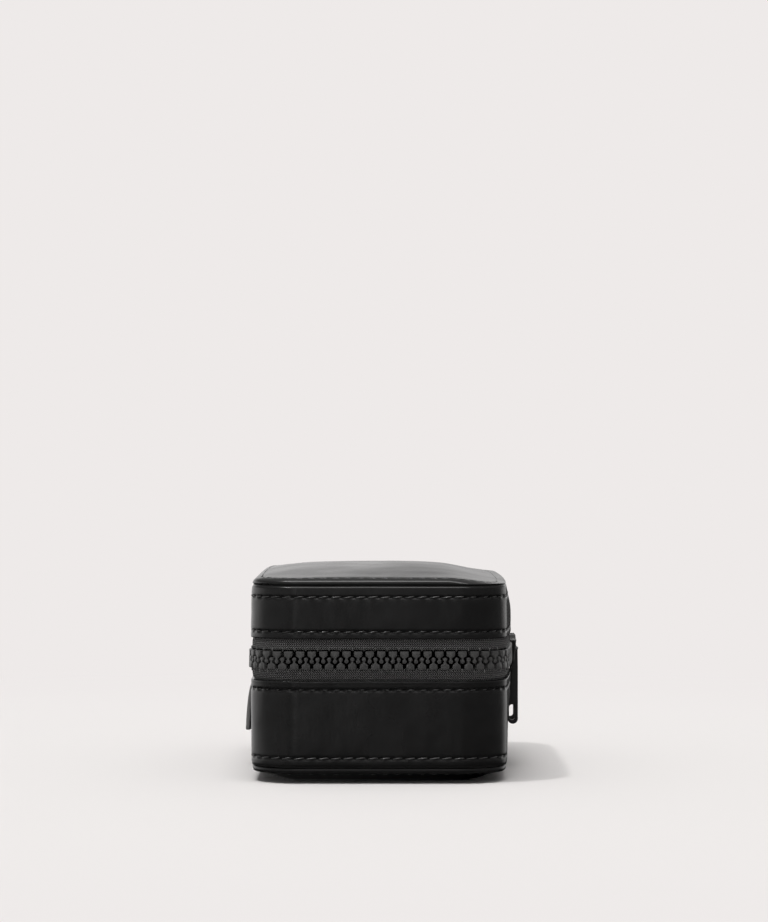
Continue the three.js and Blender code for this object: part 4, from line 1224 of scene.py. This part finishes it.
def lid_pocket():
    """A pocket of lining cloth, gathered on an elastic along its mouth."""
    low, high = box("lid_pocket")
    columns, rows = 260, 48
    across = np.linspace(low.x, high.x, columns)
    depth = high.z - low.z
    sheet = np.zeros((rows, columns, 3))
    for i, v in enumerate(np.linspace(0, 1, rows)):
        u = (across - low.x) / (high.x - low.x) * 2 - 1
        sides = np.clip(1 - np.abs(u) ** 14, 0, 1) ** 0.5
        back = math.sin(min(v / 0.35, 1) * math.pi / 2) ** 0.8
        fold = 0.45 * np.cos(across * 1.7 + 0.8 * np.sin(across * 0.23)) * (0.15 + 0.85 * v**1.5)
        fold += 0.25 * np.cos(across * 2.9 + 1.0) * v**3
        drop = (depth - 0.9) * back * sides * (1 - 0.08 * v) + fold * sides * min(v * 4, 1) * 0.8
        sheet[i, :, 0] = across
        sheet[i, :, 1] = high.y + (low.y - high.y) * v
        sheet[i, :, 2] = high.z - np.clip(drop, 0, depth - 0.2)
    faces = grid_faces(rows, columns, wrap_columns=False)
    piece = finish_mesh("lid_pocket_cloth", sheet, faces, SUEDE, "suede_lining")
    thicken = piece.modifiers.new("cloth", "SOLIDIFY")
    thicken.thickness = 0.45 * MM
    thicken.offset = 0
    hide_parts("lid_pocket")
    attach(piece, "lid")
    pocket_band(sheet[-1])


def pocket_band(mouth):
    """The rippled elastic along the pocket's mouth."""
    around = 10
    rings = []
    for x, y, z in mouth[::2]:
        radius = ELASTIC_RADIUS + ELASTIC_RIPPLE * math.sin(x * 5.2)
        circle = [(radius * math.cos(a), radius * math.sin(a) * 0.9) for a in turns(around)]
        rings.append([(x, y - 0.4 + dy, z + dz) for dy, dz in circle])
    rings = np.array(rings)
    faces = tube_faces(len(rings), around)
    band = finish_mesh("pocket_elastic_band", rings, faces, ELASTIC, "elastic", outward=True)
    paint(band, "along", rings[..., 0])
    paint(band, "across", np.broadcast_to(np.arange(around) * 0.45, rings.shape[:2]))
    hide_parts("pocket_elastic")
    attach(band, "lid")


def hook_strap():
    """The leather strap that holds the necklace hooks, stitched along both edges."""
    low, high = box("hook_strap")
    outline = rounded_rectangle(low.x, low.y, high.x, high.y, 2.0, 8)
    points, faces = solid_from_outline(outline, (high.z - low.z) / 2, 0.3)
    points[:, 2] += (low.z + high.z) / 2
    piece = finish_mesh("hook_strap_leather", points, faces, LEATHER_BLACK, "black_leather", sharp=40)
    paint(piece, "wear", np.zeros(len(points)))
    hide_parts("hook_strap")
    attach(piece, "lid")
    parts = []
    step = 3.0
    for y in (low.y + 1.1, high.y - 1.1):
        for i in range(int((high.x - low.x - 4) / step)):
            x = low.x + 2.4 + i * step
            parts.append(stitch_mesh((x, y, low.z), (x + step - 0.6, y, low.z), (0, 0, -1), 0.24))
    stitches("hook_strap_stitches", "lid", parts)


def dress(node, material):
    """Gives a CAD node, kept as it is, a finished material."""
    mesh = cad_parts[node].data
    mesh.materials.clear()
    mesh.materials.append(material)


# ---- Building everything ----
LID_ROWS = (LID_EDGE_Z + 1.9, TOP_SEAM_Z - 3.8)
BASE_ROWS = (BOTTOM_SEAM_Z + 3.2, BASE_EDGE_Z - 2.9)
LIP_DROP = 0.3  # the lid's and base's free edges lie this much lower than their CAD solids


def build_leather():
    lid_edge, base_edge = LID_EDGE_Z - LIP_DROP, BASE_EDGE_Z - LIP_DROP
    leather_band("lid_band", "lid", lid_edge, TOP_SEAM_Z - GAP, LID_ROWS, -1, "lid_side_leather")
    leather_band("base_band", "base", BOTTOM_SEAM_Z + GAP, base_edge, BASE_ROWS, 1, "base_side_leather")
    padded_panel("lid_top_panel", "lid", TOP_SEAM_Z, 1, top_height, TOP_STITCH_INSET,
                 "lid_top_leather", "lid_top_foam")
    padded_panel("base_bottom_panel", "base", BOTTOM_SEAM_Z, -1, bottom_height, BOTTOM_STITCH_INSET,
                 "base_bottom_leather", "base_bottom_foam")
    lid_parts = wall_stitches(LID_ROWS[0]) + wall_stitches(LID_ROWS[1])
    lid_parts += panel_stitches(TOP_SEAM_Z, 1, top_height, TOP_STITCH_INSET)
    stitches("lid_stitches", "lid", lid_parts)
    base_parts = wall_stitches(BASE_ROWS[0]) + wall_stitches(BASE_ROWS[1], lean=0.12, sunk=0.2)
    base_parts += panel_stitches(BOTTOM_SEAM_Z, -1, bottom_height, BOTTOM_STITCH_INSET)
    stitches("base_stitches", "base", base_parts)


def build_zip():
    for side, half in ((1, "lid"), (-1, "base")):
        zip_tape(side, f"{half}_zip_tape", half, f"zip_tape_{half}")
        zip_teeth(side, f"{half}_zip_teeth", half, f"zip_teeth_{half}")
        cord_loops(side, f"{half}_zip_cord_loops", half)
        for label in ("left", "right"):
            zip_stop(f"zip_stop_{half}_{label}", half)
    for side, label in ((-1, "left"), (1, "right")):
        slider_piece(side, label)
        pull_piece(side, label)


def build_inside():
    lining_wall("base_wall_lining", "base_lining", "base", True)
    lining_wall("lid_wall_lining", "lid_lining", "lid", False)
    lining_pad("base_floor_pad", "base_floor", "base", True, 0.25)
    lining_pad("lid_top_pad", "lid_ceiling", "lid", False, 0.25)
    for i in range(4):
        ring_roll(f"ring_roll_{i + 1}")
    for node in ("cross_divider", "long_divider", "short_divider"):
        divider(node)
    lid_pocket()
    hook_strap()
    for i in range(4):
        dress(f"necklace_hook_{i + 1}", LACQUER)
    for node in ("base_floor_board", "base_wall_board", "lid_top_board", "lid_wall_board"):
        dress(node, SUEDE)


build_leather()
build_zip()
grip_tab()
hinge_strip("hinge_leather", "hinge_outer", LEATHER_BLACK, "black_leather", 0.5)
hinge_strip("hinge_lining", "hinge_inner", SUEDE, "suede_lining", -0.1)
build_inside()


# ---- Stage, lights and camera ----
BACKGROUND = (0.855, 0.823, 0.815, 1)
FADE = {"From Min": 0.16, "From Max": 0.42}  # metres from the middle, where the floor becomes backdrop
FLOOR_RADIUS = 6.0  # metres
FLOOR_DROP = 0.00005  # metres
BACKDROP_RADIUS = 5.9  # metres


def add_floor():
    """A pale floor that fades into the backdrop's colour."""
    material, nodes, links, shader = new_material("floor")
    set_values(shader, {"Base Color": (0.735, 0.72, 0.715, 1), "Roughness": 0.9, "Specular IOR Level": 0.1})
    glow = add(nodes, "ShaderNodeEmission", {"Color": BACKGROUND, "Strength": 1.0})
    length = texture(nodes, links, "ShaderNodeVectorMath", {}, operation="LENGTH")
    fade = add(nodes, "ShaderNodeMapRange", FADE, interpolation_type="SMOOTHSTEP")
    mix = add(nodes, "ShaderNodeMixShader")
    links.new(length.outputs["Value"], fade.inputs["Value"])
    links.new(fade.outputs["Result"], mix.inputs["Fac"])
    links.new(shader.outputs["BSDF"], mix.inputs[1])
    links.new(glow.outputs["Emission"], mix.inputs[2])
    links.new(mix.outputs["Shader"], nodes["Material Output"].inputs["Surface"])
    bpy.ops.mesh.primitive_circle_add(
        vertices=96, radius=FLOOR_RADIUS, fill_type="NGON", location=(0, 0, -FLOOR_DROP)
    )
    floor = bpy.context.object
    floor.name = "floor"
    floor.data.materials.append(material)
    floor.visible_glossy = False


def add_backdrop():
    """A plain glowing dome that only the camera sees."""
    bpy.ops.mesh.primitive_uv_sphere_add(segments=48, ring_count=24, radius=BACKDROP_RADIUS)
    dome = bpy.context.object
    dome.name = "backdrop"
    material, nodes, links, _ = new_material("backdrop")
    glow = add(nodes, "ShaderNodeEmission", {"Color": BACKGROUND, "Strength": 1.0})
    links.new(glow.outputs["Emission"], nodes["Material Output"].inputs["Surface"])
    dome.data.materials.append(material)
    for visibility in ("visible_diffuse", "visible_glossy", "visible_shadow", "visible_transmission"):
        setattr(dome, visibility, False)


LEAST_LIGHT = 0.02
# Each light panel: azimuth from, to and softness; elevation from, to and softness; strength. Azimuth 0 is
# towards the camera, and +90 towards +Y, which is left in the picture. A negative strength takes light away.
LIGHT_PANELS = [
    ((-400, 400, 1), (-8, 200, 6), 0.2),  # the dim surround
    ((-400, 400, 1), (45, 200, 20), 0.35),  # overhead
    ((4, 11, 3), (-8, 60, 6), 1.3),  # a narrow strip just left of the camera
    ((24, 400, 8), (-8, 16, 8), 0.3),  # the left side
    ((100, 400, 14), (-8, 13, 8), 0.55),  # left, behind the case
    ((-400, -128, 12), (-8, 13, 8), 0.75),  # right, behind the case
    ((-400, -158, 6), (-400, 1, 3), -1.0),  # a dark card low behind the front wall
]


def window(nodes, links, value, low, high, soft):
    """1 between low and high degrees, falling smoothly to 0 outside."""
    edges = []
    for edge in (low, high):
        span = {"From Min": math.radians(edge - soft), "From Max": math.radians(edge + soft)}
        step = add(nodes, "ShaderNodeMapRange", span, interpolation_type="SMOOTHSTEP")
        links.new(value, step.inputs["Value"])
        edges.append(step.outputs["Result"])
    return maths(nodes, links, "SUBTRACT", *edges)


def lights():
    """The surround with its soft panels and dark card, a key light from high up, and soft light overhead."""
    world = bpy.data.worlds.new("surround")
    bpy.context.scene.world = world
    world.use_nodes = True
    nodes, links = world.node_tree.nodes, world.node_tree.links
    coords = add(nodes, "ShaderNodeTexCoord")
    split = add(nodes, "ShaderNodeSeparateXYZ")
    links.new(coords.outputs["Generated"], split.inputs["Vector"])
    x, y, z = (split.outputs[axis] for axis in "XYZ")
    node = partial(maths, nodes, links)
    azimuth = node("ARCTAN2", y, node("MULTIPLY", x, -1.0))
    elevation = node("ARCSINE", z)
    level = LEAST_LIGHT
    for across, up, strength in LIGHT_PANELS:
        panel = node("MULTIPLY", window(nodes, links, azimuth, *across), window(nodes, links, elevation, *up))
        level = node("ADD", node("MULTIPLY", panel, strength), level)
    level = node("MAXIMUM", level, 0.0)
    links.new(level, nodes["Background"].inputs["Strength"])
    set_values(nodes["Background"], {"Color": (1.0, 0.985, 0.98, 1)})

    far_light("key", (-0.2, 0.33, 1.0), 0.85, 4)
    far_light("overhead", (-0.12, 0.04, 1.0), 1.6, 30)


def far_light(name, towards, energy, angle):
    """A distant light in the given direction; angle is its apparent size in degrees."""
    sun = bpy.data.lights.new(name, "SUN")
    sun.energy = energy
    sun.angle = math.radians(angle)
    sun.color = (1.0, 0.99, 0.98)
    lamp = bpy.data.objects.new(name, sun)
    lamp.rotation_euler = Vector(towards).to_track_quat("Z", "Y").to_euler()
    bpy.context.scene.collection.objects.link(lamp)


CAMERA_DISTANCE = 927.0  # from the case's near end
CAMERA_Y = -1.45
CAMERA_Z = 96.7
SENSOR = 36.0
FOCAL_SHARE = 3.358  # focal length as a share of the picture's height


def camera():
    """Looks level along the case from beyond its left end, a little above its top."""
    data = bpy.data.cameras.new("camera")
    eye = bpy.data.objects.new("camera", data)
    data.sensor_width = SENSOR
    data.lens = SENSOR * FOCAL_SHARE
    data.clip_start, data.clip_end = 0.01, 50
    eye.location = (-(HALF_LENGTH + CAMERA_DISTANCE) * MM, CAMERA_Y * MM, CAMERA_Z * MM)
    eye.rotation_euler = (math.pi / 2, 0, -math.pi / 2)
    bpy.context.scene.collection.objects.link(eye)
    bpy.context.scene.camera = eye


add_floor()
add_backdrop()
lights()
camera()
bpy.context.scene.view_settings.view_transform = "Standard"
